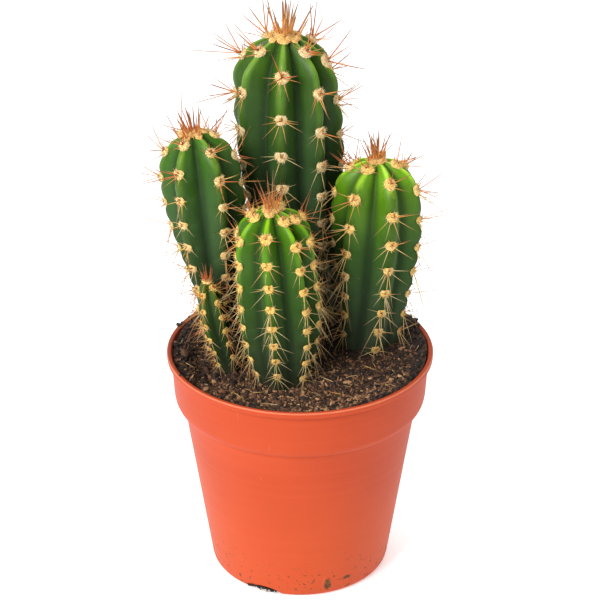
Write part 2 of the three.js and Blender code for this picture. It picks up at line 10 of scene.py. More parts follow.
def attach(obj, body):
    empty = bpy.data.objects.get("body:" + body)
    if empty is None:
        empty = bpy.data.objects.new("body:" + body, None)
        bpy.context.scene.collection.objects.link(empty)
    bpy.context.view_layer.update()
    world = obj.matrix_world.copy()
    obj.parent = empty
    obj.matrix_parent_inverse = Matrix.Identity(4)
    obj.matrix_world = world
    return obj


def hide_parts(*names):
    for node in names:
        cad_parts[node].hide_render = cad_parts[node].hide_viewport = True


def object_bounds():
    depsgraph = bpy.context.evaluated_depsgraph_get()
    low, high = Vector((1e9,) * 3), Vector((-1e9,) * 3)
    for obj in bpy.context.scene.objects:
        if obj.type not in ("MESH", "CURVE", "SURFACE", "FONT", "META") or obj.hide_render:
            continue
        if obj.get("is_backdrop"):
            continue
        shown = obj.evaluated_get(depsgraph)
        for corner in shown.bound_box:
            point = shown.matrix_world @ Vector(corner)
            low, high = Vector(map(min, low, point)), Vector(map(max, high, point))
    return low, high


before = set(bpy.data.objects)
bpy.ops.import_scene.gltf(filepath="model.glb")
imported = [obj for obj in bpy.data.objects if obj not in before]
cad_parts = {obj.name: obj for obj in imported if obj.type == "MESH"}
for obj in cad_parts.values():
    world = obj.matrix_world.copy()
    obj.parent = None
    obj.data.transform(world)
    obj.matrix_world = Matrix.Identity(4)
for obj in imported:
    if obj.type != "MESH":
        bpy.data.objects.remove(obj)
cad_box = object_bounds()
MM = 0.001


# Camera: a long lens a metre away, turned down on the middle of the plant, where the photograph
# was taken from. It has no shift and no depth of field.
CAMERA_DISTANCE = 1000
CAMERA_PITCH = math.radians(27.1)
CAMERA_AIM = Vector((0, 0, 142.5))
CAMERA_LENS = 124.3

camera = bpy.data.objects.new("camera", bpy.data.cameras.new("camera"))
backwards = Vector((0, -math.cos(CAMERA_PITCH), math.sin(CAMERA_PITCH)))
camera.data.lens = CAMERA_LENS
camera.data.sensor_width = 36
camera.location = MM * (CAMERA_AIM + CAMERA_DISTANCE * backwards)
camera.rotation_euler = (math.pi / 2 - CAMERA_PITCH, 0, 0)
bpy.context.scene.collection.objects.link(camera)
bpy.context.scene.camera = camera


# Studio: a plain white table top under soft light. A wide softbox stands at the front left, where
# the pot is brightest, and weaker ones fill in from the right and from above. The room is white.
FLOOR_SIDE = 16000
FLOOR_COLOUR = (0.95, 0.95, 0.95, 1)
# The floor also glows a little: painted light that washes out the pot's shadow on it and lights the
# pot's foot from below
FLOOR_GLOW = 0.4
ROOM_LIGHT = 0.38
SOFTBOXES = {
    "key_softbox": {"place": (-900, -1000, 1000), "side": 800, "power": 30},
    "fill_softbox": {"place": (1200, -500, 500), "side": 1000, "power": 3.6},
    "top_softbox": {"place": (100, 700, 1500), "side": 1100, "power": 13},
}


class Wire:
    """A node's output that works in Python arithmetic: every operator adds one Math node."""

    def __init__(self, tree, socket):
        self.tree = tree
        self.socket = socket

    def also(self, name):
        return Wire(self.tree, self.socket.node.outputs[name])

    def math(self, operation, *terms):
        return self.tree.node("ShaderNodeMath", {"operation": operation}, dict(enumerate(terms)))

    def __add__(self, term):
        return self.math("ADD", self, term)

    def __radd__(self, term):
        return self.math("ADD", term, self)

    def __sub__(self, term):
        return self.math("SUBTRACT", self, term)

    def __rsub__(self, term):
        return self.math("SUBTRACT", term, self)

    def __mul__(self, term):
        return self.math("MULTIPLY", self, term)

    def __rmul__(self, term):
        return self.math("MULTIPLY", term, self)

    def __truediv__(self, term):
        return self.math("DIVIDE", self, term)

    def __rtruediv__(self, term):
        return self.math("DIVIDE", term, self)

    def __pow__(self, term):
        return self.math("POWER", self, term)

    def __abs__(self):
        return self.math("ABSOLUTE", self)

    def __lt__(self, term):
        return self.math("LESS_THAN", self, term)

    def __gt__(self, term):
        return self.math("GREATER_THAN", self, term)

    def step(self, low, high):
        """0 below low, 1 above high, and a smooth rise between them."""
        ends = {"Value": self, "From Min": low, "From Max": high}
        return self.tree.node("ShaderNodeMapRange", {"interpolation_type": "SMOOTHSTEP"}, ends)


class Tree:
    """A node tree whose nodes are all added, set up and wired by one method."""

    def __init__(self, tree):
        self.tree = tree

    def node(self, kind, settings=(), sockets=(), output=None):
        """Adds a node with its settings, then its sockets' values or wires; returns an output."""
        node = self.tree.nodes.new(kind)
        for name, value in dict(settings).items():
            if name == "stops":
                stops = sorted(value.items())
                node.color_ramp.elements[0].position = stops[0][0]
                node.color_ramp.elements[0].color = stops[0][1]
                node.color_ramp.elements[1].position = stops[-1][0]
                node.color_ramp.elements[1].color = stops[-1][1]
                for place, colour in stops[1:-1]:
                    node.color_ramp.elements.new(place).color = colour
            else:
                setattr(node, name, value)
        for name, value in dict(sockets).items():
            if isinstance(name, int):
                socket = node.inputs[name]
            else:
                socket = next(s for s in node.inputs if s.name == name and s.enabled)
            if isinstance(value, Wire):
                self.tree.links.new(value.socket, socket)
            elif isinstance(value, list):
                for wire in value:
                    self.tree.links.new(wire.socket, socket)
            else:
                socket.default_value = value
        ends = [s for s in node.outputs if s.enabled and output in (None, s.name)]
        return Wire(self, ends[0]) if ends else None

    def vector(self, operation, *terms):
        """A Vector Math node, whose last term is a number where it scales."""
        sockets = dict(enumerate(terms))
        if operation == "SCALE":
            sockets = {0: terms[0], "Scale": terms[1]}
        return self.node("ShaderNodeVectorMath", {"operation": operation}, sockets)

    def combined(self, x=0.0, y=0.0, z=0.0):
        return self.node("ShaderNodeCombineXYZ", {}, {"X": x, "Y": y, "Z": z})

    def place(self):
        """Object coordinates, in metres."""
        return self.node("ShaderNodeTexCoord", output="Object")

    def stretched(self, scale):
        """Object coordinates with each axis scaled, so that a pattern is drawn out along one."""
        return self.node("ShaderNodeMapping", {}, {"Vector": self.place(), "Scale": scale})

    def noise(self, place, grain, detail=3, roughness=0.5):
        """Noise whose lumps are about grain millimetres across."""
        sizes = {"Vector": place, "Scale": 1 / (grain * MM), "Detail": detail, "Roughness": roughness}
        return self.node("ShaderNodeTexNoise", {}, sizes, "Fac")

    def value(self, name):
        """One of the mesh's own numbers."""
        return self.node("ShaderNodeAttribute", {"attribute_name": name}, {}, "Fac")

    def ramp(self, factor, stops):
        """Screen colours, one at each stop of the factor."""
        stops = {at: tint(*colour) for at, colour in stops.items()}
        return self.node("ShaderNodeValToRGB", {"stops": stops}, {"Fac": factor}, "Color")

    def mix(self, factor, first, second, blend="MIX"):
        """The first colour, and the second where factor is 1."""
        settings = {"data_type": "RGBA", "blend_type": blend}
        return self.node("ShaderNodeMix", settings, {0: factor, 6: first, 7: second}, "Result")

    def bump(self, height, depth):
        """A normal from a height between 0 and 1 that stands for depth millimetres."""
        return self.node("ShaderNodeBump", {}, {"Height": height, "Distance": depth * MM})

    def surface(self, sockets):
        shader = self.node("ShaderNodeBsdfPrincipled", {}, sockets)
        self.node("ShaderNodeOutputMaterial", {}, {"Surface": shader})


def new_material(name):
    material = bpy.data.materials.new(name)
    material.use_nodes = True
    material.node_tree.nodes.clear()
    return material, Tree(material.node_tree)


def tint(red, green, blue):
    """A colour given as it looks on a screen, 0 to 255, as Blender's linear values."""
    shares = [c / 255 for c in (red, green, blue)]
    return (*[s / 12.92 if s < 0.04045 else ((s + 0.055) / 1.055) ** 2.4 for s in shares], 1)


def new_mesh(name, points, faces=(), edges=(), numbers=()):
    """A mesh from points in millimetres, with named numbers or vectors on its points."""
    mesh = bpy.data.meshes.new(name)
    mesh.from_pydata((MM * np.asarray(points, float)).tolist(), list(edges), list(faces))
    for title, values in dict(numbers).items():
        values = np.asarray(values, np.float32)
        vector = values.ndim == 2
        layer = mesh.attributes.new(title, "FLOAT_VECTOR" if vector else "FLOAT", "POINT")
        layer.data.foreach_set("vector" if vector else "value", values.ravel())
    return mesh


def new_object(name, mesh, material=None):
    made = bpy.data.objects.new(name, mesh)
    bpy.context.scene.collection.objects.link(made)
    if material:
        made.data.materials.append(material)
    return made


white_paint, tree = new_material("white_paint")
grain = tree.noise(tree.place(), 900)
tree.surface({
    "Base Color": FLOOR_COLOUR, "Roughness": 0.6 + 0.1 * grain, "Specular IOR Level": 0.2,
    "Emission Color": FLOOR_COLOUR, "Emission Strength": FLOOR_GLOW,
})
half = FLOOR_SIDE / 2
corners = [(-half, -half, 0), (half, -half, 0), (half, half, 0), (-half, half, 0)]
floor = new_object("floor", new_mesh("floor", corners, [(0, 1, 2, 3)]), white_paint)
floor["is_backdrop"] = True

for name, box in SOFTBOXES.items():
    light = bpy.data.objects.new(name, bpy.data.lights.new(name, "AREA"))
    light.data.size = box["side"] * MM
    light.data.energy = box["power"]
    light.location = MM * Vector(box["place"])
    light.rotation_euler = (CAMERA_AIM - Vector(box["place"])).to_track_quat("-Z", "Y").to_euler()
    bpy.context.scene.collection.objects.link(light)

room = bpy.data.worlds.new("white_room")
room.use_nodes = True
room.node_tree.nodes["Background"].inputs["Color"].default_value = (1, 1, 1, 1)
room.node_tree.nodes["Background"].inputs["Strength"].default_value = ROOM_LIGHT
bpy.context.scene.world = room
bpy.context.scene.view_settings.view_transform = "Standard"


# Pot: one thin shell of satin terracotta-coloured plastic, moulded in one shot, with a wider band
# under a turned lip. Three drainage notches are cut through the foot of the wall.
POT_HEIGHT = 116.8
LIP_FOOT = 113.5
BAND_FOOT = 89.5
FLOOR_THICKNESS = 1.6
# The wall's section from the middle of the underside, up the outside and down the inside: radius,
# height, and how far each corner is rounded
POT_SECTION = (
    (0, 0, 0), (44.2, 0, 3.2), (57.4, BAND_FOOT, 1), (61.5, 90.9, 4.6), (62.9, LIP_FOOT - 0.5, 0.25),
    (62.6, LIP_FOOT - 0.1, 0.15), (64.9, LIP_FOOT + 0.2, 0.5), (65.1, POT_HEIGHT, 1.1),
    (62.75, POT_HEIGHT, 0.9), (62.1, 113, 1), (60.5, 97, 3), (56.2, BAND_FOOT, 2),
    (41.6, FLOOR_THICKNESS, 2), (0, FLOOR_THICKNESS, 0),
)
ROUNDING_STEPS = 5
WALL_STEP = 20
POT_SIDES = 240
SWEEP_RADIUS = 50
POT_BASE_RADIUS = 44
NOTCH_COUNT = 3
NOTCH_BEARING = -23.5
NOTCH_WIDTH = 18
NOTCH_HEIGHT = 4.4
NOTCH_DEPTH = 7
NOTCH_SIDES = 40
SHARP_EDGE = math.radians(35)
# Two larger crusts of soil right of the front notch: place, radius and squash
DIRT_CRUSTS = (((13.6, -43.4, 6.8), 1.7, (1, 1, 0.45)), ((23.2, -39.3, 8.6), 1.6, (0.7, 0.7, 1.3)))
SCUFF_WIDTH = 0.0014


def rounded_line(corners, steps, longest):
    """The points of a section: rounded corners, with long straight runs cut into shorter ones."""
    line = [np.array(corners[0][:2], float)]
    for before, (r, z, rounding), after in zip(corners, corners[1:], corners[2:]):
        corner = np.array((r, z), float)
        back = np.array(before[:2], float) - corner
        ahead = np.array(after[:2], float) - corner
        start = corner + back * min(rounding / np.linalg.norm(back), 0.49)
        end = corner + ahead * min(rounding / np.linalg.norm(ahead), 0.49)
        for share in np.linspace(0, 1, steps + 1):
            line.append((1 - share) ** 2 * start + 2 * share * (1 - share) * corner + share**2 * end)
    line.append(np.array(corners[-1][:2], float))
    cut = [line[0]]
    for point in line[1:]:
        run = np.linalg.norm(point - cut[-1])
        pieces = max(1, math.ceil(run / longest))
        cut += [cut[-1] + (point - cut[-1]) * k / pieces for k in range(1, pieces + 1)]
    return np.array(cut)


def new_growth(name, sizes):
    """A Geometry Nodes tree with a geometry input and named sizes; returns it and its inputs."""
    group = bpy.data.node_groups.new(name, "GeometryNodeTree")
    group.interface.new_socket("Geometry", in_out="INPUT", socket_type="NodeSocketGeometry")
    for title, kind in {**sizes, "Material": "Material"}.items():
        group.interface.new_socket(title, in_out="INPUT", socket_type=f"NodeSocket{kind}")
    group.interface.new_socket("Geometry", in_out="OUTPUT", socket_type="NodeSocketGeometry")
    tree = Tree(group)
    return group, tree, tree.node("NodeGroupInput")


def close_growth(tree, sizes, geometry):
    """Ends a tree in plain geometry with its material."""
    plain = tree.node("GeometryNodeRealizeInstances", {}, {"Geometry": geometry})
    dress = {"Geometry": plain, "Material": sizes.also("Material")}
    tree.node("NodeGroupOutput", {}, {"Geometry": tree.node("GeometryNodeSetMaterial", {}, dress)})


def set_on(tree, points, mesh, **placing):
    """A copy of a mesh on every point, made real."""
    sockets = {"Points": points, "Instance": mesh, **placing}
    copies = tree.node("GeometryNodeInstanceOnPoints", {}, sockets)
    return tree.node("GeometryNodeRealizeInstances", {}, {"Geometry": copies})


def grow(name, mesh, group, sizes):
    """Runs a tree over a mesh and keeps the result as a plain mesh of its own."""
    made = new_object(name, mesh, sizes["Material"])
    modifier = made.modifiers.new(group.name, "NODES")
    modifier.node_group = group
    for socket in group.interface.items_tree:
        if socket.in_out == "INPUT" and socket.name in sizes:
            modifier[socket.identifier] = sizes[socket.name]
    graph = bpy.context.evaluated_depsgraph_get()
    grown = bpy.data.meshes.new_from_object(
        made.evaluated_get(graph), preserve_all_data_layers=True, depsgraph=graph
    )
    made.modifiers.clear()
    made.data = grown
    grown.name = name
    grown.materials.clear()
    grown.materials.append(sizes["Material"])
    return made


plastic, tree = new_material("terracotta_plastic")
place = tree.place()
height = tree.node("ShaderNodeSeparateXYZ", {}, {"Vector": place}, "Z")
back = height.also("Y")
# Faint rings from the mould, drawn out round the pot, and a slow drift of the dye
rings = tree.noise(tree.stretched((0.02, 0.02, 1)), 2.2, 2)
drift = tree.noise(place, 45, 2)
body = tree.ramp(0.65 * drift + 0.35 * rings, {0.25: (171, 60, 26), 0.75: (184, 70, 33)})
# The wall is painted lighter toward the foot: painted light, as if bounced up from the white floor
body = tree.mix(0.5 * (1 - height.step(0, 85 * MM)), body, tint(200, 86, 42))
# Soil washed down the foot, in specks and in a smear round the notches
low = 1 - height.step(3 * MM, 34 * MM)
speck_noise = tree.noise(place, 2.2, 2, 0.6)
specks = speck_noise.step(0.63, 0.68) * low
ragged = 1.6 * MM * (tree.noise(place, 1.4, 3, 0.7) - 0.5)
for spot, radius, squash in DIRT_CRUSTS:
    shape = tree.node("ShaderNodeMapping", {}, {"Vector": place, "Scale": squash})
    middle = tuple(MM * at * share for at, share in zip(spot, squash))
    away = tree.vector("DISTANCE", shape, middle) + 1.4 * ragged
    crust = 1 - away.step((radius - 0.35) * MM, (radius + 0.25) * MM)
    specks = specks.math("MAXIMUM", specks, crust)
smear = tree.noise(place, 11, 4, 0.6).step(0.5, 0.75) * (1 - height.step(0, 9 * MM))
dirt = specks * 0.9 + smear * 0.3
dirt = dirt.math("MINIMUM", dirt, 0.92)
# Pale scuffs: thin scratches where the wall has rubbed on its neighbours
rub = abs(tree.noise(tree.stretched((1, 1, 0.35)), 21, 1) - 0.5) < SCUFF_WIDTH
scuff = rub * tree.noise(place, 15, 1).step(0.66, 0.7) * 0.4
clean = tree.mix(scuff, body, tint(216, 150, 122))
fine = tree.noise(place, 0.7, 2)
crumbled = 0.5 * fine + 0.5 * tree.noise(place, 1.5, 2)
crumbled = tree.ramp(crumbled, {0.4: (46, 36, 25), 0.6: (104, 86, 58)})
colour = tree.mix(dirt, clean, crumbled)
# A brown film on the lip, thicker at the sides and at the back: soil dust, and painted shade where
# the lip lies in shadow
lip_dust_and_shade = height.step(113 * MM, 115 * MM) * back.step(-50 * MM, 10 * MM)
lip_dust_and_shade = lip_dust_and_shade * (0.25 + 0.5 * tree.noise(place, 4, 4, 0.6))
colour = tree.mix(lip_dust_and_shade, colour, tint(100, 62, 48))
# A painted highlight: a pale line along the lip's rounded outer edge, where light catches it
outward = tree.vector("LENGTH", tree.stretched((1, 1, 0)))
edge = height.step(115.9 * MM, 116.3 * MM) * (1 - height.step(116.6 * MM, 116.78 * MM))
edge = edge * (outward > 64.2 * MM) * (0.35 + 0.5 * tree.noise(place, 6, 3))
colour = tree.mix(edge, colour, tint(226, 134, 100))
tree.surface({
    "Base Color": colour,
    "Roughness": 0.44 + 0.12 * fine + 0.35 * dirt,
    "Normal": tree.bump(0.5 * rings + 0.3 * fine + 0.6 * dirt, 0.12),
    "Specular IOR Level": 0.17,
    "Subsurface Weight": 0.08,
    "Subsurface Scale": 2 * MM,
})

group, tree, sizes = new_growth("turned_pot", {
    "Sides": "Int", "Sweep Radius": "Float", "Base Radius": "Float", "Notch Count": "Int",
    "First Notch": "Float", "Notch Width": "Float", "Notch Height": "Float", "Notch Depth": "Float",
    "Sharp Edge": "Float",
})
sweep = {"Resolution": sizes.also("Sides"), "Radius": sizes.also("Sweep Radius")}
circle = tree.node("GeometryNodeCurvePrimitiveCircle", {"mode": "RADIUS"}, sweep)
circle = tree.node("GeometryNodeSetCurveNormal", {"mode": "Z_UP"}, {"Curve": circle})
section = tree.node("GeometryNodeMeshToCurve", {}, {"Mesh": sizes.also("Geometry")})
shell = tree.node("GeometryNodeCurveToMesh", {}, {"Curve": circle, "Profile Curve": section})
shell = tree.node("GeometryNodeMergeByDistance", {}, {"Geometry": shell, "Distance": 0.01 * MM})
# Each notch is cut by an oval bar that lies across the wall
bar = {"Vertices": NOTCH_SIDES, "Radius": 1, "Depth": 1}
bar = tree.node("GeometryNodeMeshCylinder", {}, bar, "Mesh")
depth = 2 * sizes.also("Notch Depth")
girth = tree.combined(0.5 * sizes.also("Notch Width"), sizes.also("Notch Height"), depth)
bar = tree.node("GeometryNodeTransform", {}, {"Geometry": bar, "Scale": girth})
lying = {"Geometry": bar, "Rotation": (math.pi / 2, 0, 0)}
bar = tree.node("GeometryNodeTransform", {}, lying)
count = sizes.also("Notch Count")
seats = tree.node("GeometryNodePoints", {}, {"Count": count})
bearing = sizes.also("First Notch") + tree.node("GeometryNodeInputIndex") * (2 * math.pi) / count
out = sizes.also("Base Radius")
spot = tree.combined(bearing.math("SINE", bearing) * out, 0 - bearing.math("COSINE", bearing) * out)
seats = tree.node("GeometryNodeSetPosition", {}, {"Geometry": seats, "Position": spot})
bars = set_on(tree, seats, bar, Rotation=tree.combined(z=bearing))
cutting = {"Mesh 1": shell, "Mesh 2": bars, "Hole Tolerant": True}
cut = tree.node("GeometryNodeMeshBoolean", {"operation": "DIFFERENCE", "solver": "EXACT"}, cutting)
cut = tree.node("GeometryNodeMergeByDistance", {}, {"Geometry": cut, "Distance": 0.002 * MM})
smooth = {"Geometry": cut, "Shade Smooth": True}
smooth = tree.node("GeometryNodeSetShadeSmooth", {"domain": "FACE"}, smooth)
angle = tree.node("GeometryNodeInputMeshEdgeAngle", output="Unsigned Angle")
sharp = {"Geometry": smooth, "Selection": angle > sizes.also("Sharp Edge"), "Shade Smooth": False}
close_growth(tree, sizes, tree.node("GeometryNodeSetShadeSmooth", {"domain": "EDGE"}, sharp))

line = rounded_line(POT_SECTION, ROUNDING_STEPS, WALL_STEP)
section = [(r - SWEEP_RADIUS, -z, 0) for r, z in reversed(line)]
chain = [(k, k + 1) for k in range(len(section) - 1)]
pot = grow("pot_shell", new_mesh("pot_section", section, edges=chain), group, {
    "Sides": POT_SIDES, "Sweep Radius": SWEEP_RADIUS * MM, "Base Radius": POT_BASE_RADIUS * MM,
    "Notch Count": NOTCH_COUNT, "First Notch": math.radians(NOTCH_BEARING),
    "Notch Width": NOTCH_WIDTH * MM, "Notch Height": NOTCH_HEIGHT * MM,
    "Notch Depth": NOTCH_DEPTH * MM, "Sharp Edge": SHARP_EDGE, "Material": plastic,
})
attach(pot, "root")
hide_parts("pot")


# Soil: one plug of dark peat with a crumbly top, highest at the back right. It is pressed round the
# stems, and banks up against the wall, to just under the lip at the back.
SOIL_LEVEL = 112.2
SOIL_RISE_RIGHT = 0.055
SOIL_RISE_BACK = 0.05
SOIL_EDGE = 115.3
SOIL_EDGE_RISE_RIGHT = 0.012
SOIL_EDGE_RISE_FRONT = 0.032
SOIL_EDGE_RISE_BACK = 0.06
SOIL_EDGE_MOST = 116.5
# Where the bank starts and where it is full, from the middle
SOIL_BANK = (48, 60)
SOIL_RADIUS = 61.9
SOIL_FOOT = 1.9
# The soil's side inside the pot, from its edge down: radius and height
SOIL_WALL = ((59.8, 98), (55.2, 90), (41, SOIL_FOOT))
SOIL_RINGS = 84
SOIL_SIDES = 200
# The size of each kind of lump and how high it stands
SOIL_LUMPS = {13: 1.1, 5: 0.7, 2: 0.3}


def eased(values, low, high):
    """0 below low, 1 above high, and a smooth rise between them."""
    share = np.clip((np.asarray(values, float) - low) / (high - low), 0, 1)
    return share * share * (3 - 2 * share)


def soil_level(x, y):
    """The smooth height of the soil, which banks up against the wall."""
    level = SOIL_LEVEL + SOIL_RISE_RIGHT * x + SOIL_RISE_BACK * y
    edge = SOIL_EDGE + SOIL_EDGE_RISE_RIGHT * x
    edge = edge + SOIL_EDGE_RISE_FRONT * np.minimum(y, 0) + SOIL_EDGE_RISE_BACK * np.maximum(y, 0)
    return level + (np.minimum(edge, SOIL_EDGE_MOST) - level) * eased(np.hypot(x, y), *SOIL_BANK)


def lumps(points, sizes, shift=0):
    """Smooth noise at each point: the sum of lumps of each size times their height."""
    total = np.zeros(len(points))
    for size, rise in sizes.items():
        total += [rise * noise.noise(Vector(p) / size + Vector((shift, size, 0))) for p in points]
    return total


def ring_faces(rings, sides):
    """Quads between rings that run anticlockwise seen from above, the highest or innermost first."""
    faces = []
    for k in range(rings - 1):
        for i in range(sides):
            j = (i + 1) % sides
            faces.append((k * sides + i, (k + 1) * sides + i, (k + 1) * sides + j, k * sides + j))
    return faces


def closed_rings(rings, top, bottom):
    """Points and faces of a skin of rings, closed by a fan at the top and at the bottom."""
    sides = len(rings[0])
    points = np.concatenate([*rings, [top], [bottom]])
    faces = ring_faces(len(rings), sides)
    last = (len(rings) - 1) * sides
    for i in range(sides):
        j = (i + 1) % sides
        faces.append((len(points) - 2, i, j))
        faces.append((len(points) - 1, last + j, last + i))
    return points, faces


def soil_rings(radii):
    """Rings of points on the soil's lumpy top."""
    turn = np.linspace(0, 2 * math.pi, SOIL_SIDES, endpoint=False)
    rings = []
    for radius in radii:
        x = radius * np.sin(turn)
        y = -radius * np.cos(turn)
        flat = np.stack([x, y, soil_level(x, y)], 1)
        flat[:, 2] += lumps(flat, SOIL_LUMPS)
        rings.append(flat)
    return rings


peat, tree = new_material("damp_peat")
place = tree.place()
clods = tree.noise(place, 4, 5, 0.65)
grit = tree.noise(place, 0.9, 2)
tree.surface({
    "Base Color": tree.ramp(0.5 * clods + 0.5 * grit, {
        0.3: (26, 18, 13), 0.5: (56, 40, 29), 0.62: (94, 67, 46), 0.72: (134, 98, 70),
    }),
    "Roughness": 0.95 - 0.25 * grit,
    "Normal": tree.bump(0.5 * clods + 0.5 * grit, 1.2),
    "Specular IOR Level": 0.3,
})

top_rings = soil_rings(SOIL_RADIUS * (np.arange(SOIL_RINGS) + 1) / SOIL_RINGS)
wall = []
for radius, z in SOIL_WALL:
    ring = top_rings[-1].copy()
    ring[:, :2] *= radius / SOIL_RADIUS
    ring[:, 2] = z
    wall.append(ring)
points, faces = closed_rings([*top_rings, *wall], (0, 0, SOIL_LEVEL), (0, 0, SOIL_FOOT))
soil = new_object("soil_bed", new_mesh("soil_bed", points, faces), peat)
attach(soil, "root")
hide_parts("soil")


# Stems: five columns of firm green flesh in one waxy skin, rooted in the soil. Their ribs swell
# between the areoles, are young and bright at the crown, and grow dull and corky at the foot.

# The sizes are the part's own, but for the left stem's foot and crown and the tall one's top, which
# are a little slimmer. foot and tip end the axis, and bow pushes it sideways half way up. The radii
# are four along the crests, from the foot to dome_start. A rib is its bearing at the foot, its
# bearing at the crown and its stagger in areole steps. first and pitch space the areoles from the
# apex down, shrink draws them together, and crown is the reach of the newest ones.
STEMS = {
    "tall": {
        "foot": (7.7, 38, 114), "tip": (-7.5, 35, 264.7), "bow": (-6.8, -0.5),
        "radii": (14.5, 19.4, 24.3, 24.5), "dome_start": 0.81, "rib_count": 8,
        "ribs": ((-128, -97, -0.15), (-91, -50, 0.5), (-22, -1, 0), (28, 43, 0.5), (92, 71, -0.1)),
        "first": 5, "pitch": 22.4, "shrink": 0.775, "least_pitch": 12.5, "pad": 2.5, "crown": 8,
    },
    "left": {
        "foot": (-37.5, 14, 110), "tip": (-50.6, 9, 226), "bow": (2.8, 1),
        "radii": (9.8, 11.2, 16.4, 18.2), "dome_start": 0.8, "rib_count": 6,
        "ribs": ((-102, -84, 0.5), (-54, -25, 0), (16, 38, 0.45), (75, 95, 0.1)),
        "first": 9.5, "pitch": 14, "shrink": 0.12, "least_pitch": 10.5, "pad": 2.1, "crown": 6,
    },
    "right": {
        "foot": (33.7, 12, 115), "tip": (36.3, 12.2, 210.7), "bow": (2.6, -0.2),
        "radii": (14.1, 16.6, 20, 19.9), "dome_start": 0.79, "rib_count": 7,
        "ribs": ((-118, -94, 0.25), (-63, -30, 0), (12, 22, 0.5), (78, 76, 0)),
        "first": 9.7, "pitch": 16.3, "shrink": 0.46, "least_pitch": 10.6, "pad": 2.3, "crown": 6,
    },
    "front": {
        "foot": (-8.4, -19.7, 111.5), "tip": (-13.3, -19.2, 199.3), "bow": (0.6, 3.4),
        "radii": (11.6, 17.8, 19.2, 18.4), "dome_start": 0.76, "rib_count": 8,
        "ribs": ((-65, -63, 0.35), (-8, -11, 0), (50, 35, 0.45), (86, 67, 0.6)),
        "first": 4.4, "pitch": 13.9, "shrink": 0.386, "least_pitch": 8.9, "pad": 2, "crown": 5.5,
    },
    "small": {
        "foot": (-34.6, -9.7, 111), "tip": (-44.2, -7.7, 156.7), "bow": (-2.7, 0.4),
        "radii": (5.7, 5.6, 6.5, 4.5), "dome_start": 0.86, "rib_count": 5,
        "ribs": ((-42, -33, 0.45), (52, 38, 0)),
        "first": 4.8, "pitch": 8.2, "shrink": 0.12, "least_pitch": 6.8, "pad": 1.4, "crown": 2.6,
    },
}
DOME_POWER = 2.3
FOOT_FURROW_DEPTH = 0.12
FURROW_DEPTH = 0.28
CROWN_FURROW_DEPTH = 0.42
FURROW_FULL_AT = 0.35
CREST_ROUNDNESS = 0.36
FURROW_ROUNDNESS = 0.16
CREST_BULGE = 0.095
CREST_REST = 0.25
SQUARE_AT = 0.25
# The root under the soil: how deep and how narrow each ring is
ROOT_STEPS = ((3, 0.94), (8, 0.86), (13, 0.72))
BARE_FOOT = 0.2
APEX_STEPS = (0.15, 0.4, 0.75, 1.2, 1.8, 2.5)
SKIN_COLUMNS = {"tall": 26, "left": 26, "right": 26, "front": 26, "small": 20}
SKIN_STEP = {"tall": 0.85, "left": 0.75, "right": 0.72, "front": 0.68, "small": 0.55}
SKIN_LUMPS = {26: 0.45, 9: 0.22, 3.5: 0.07}


def unit(vectors):
    """Vectors drawn out or in to a length of one."""
    return vectors / np.linalg.norm(vectors, axis=-1, keepdims=True)


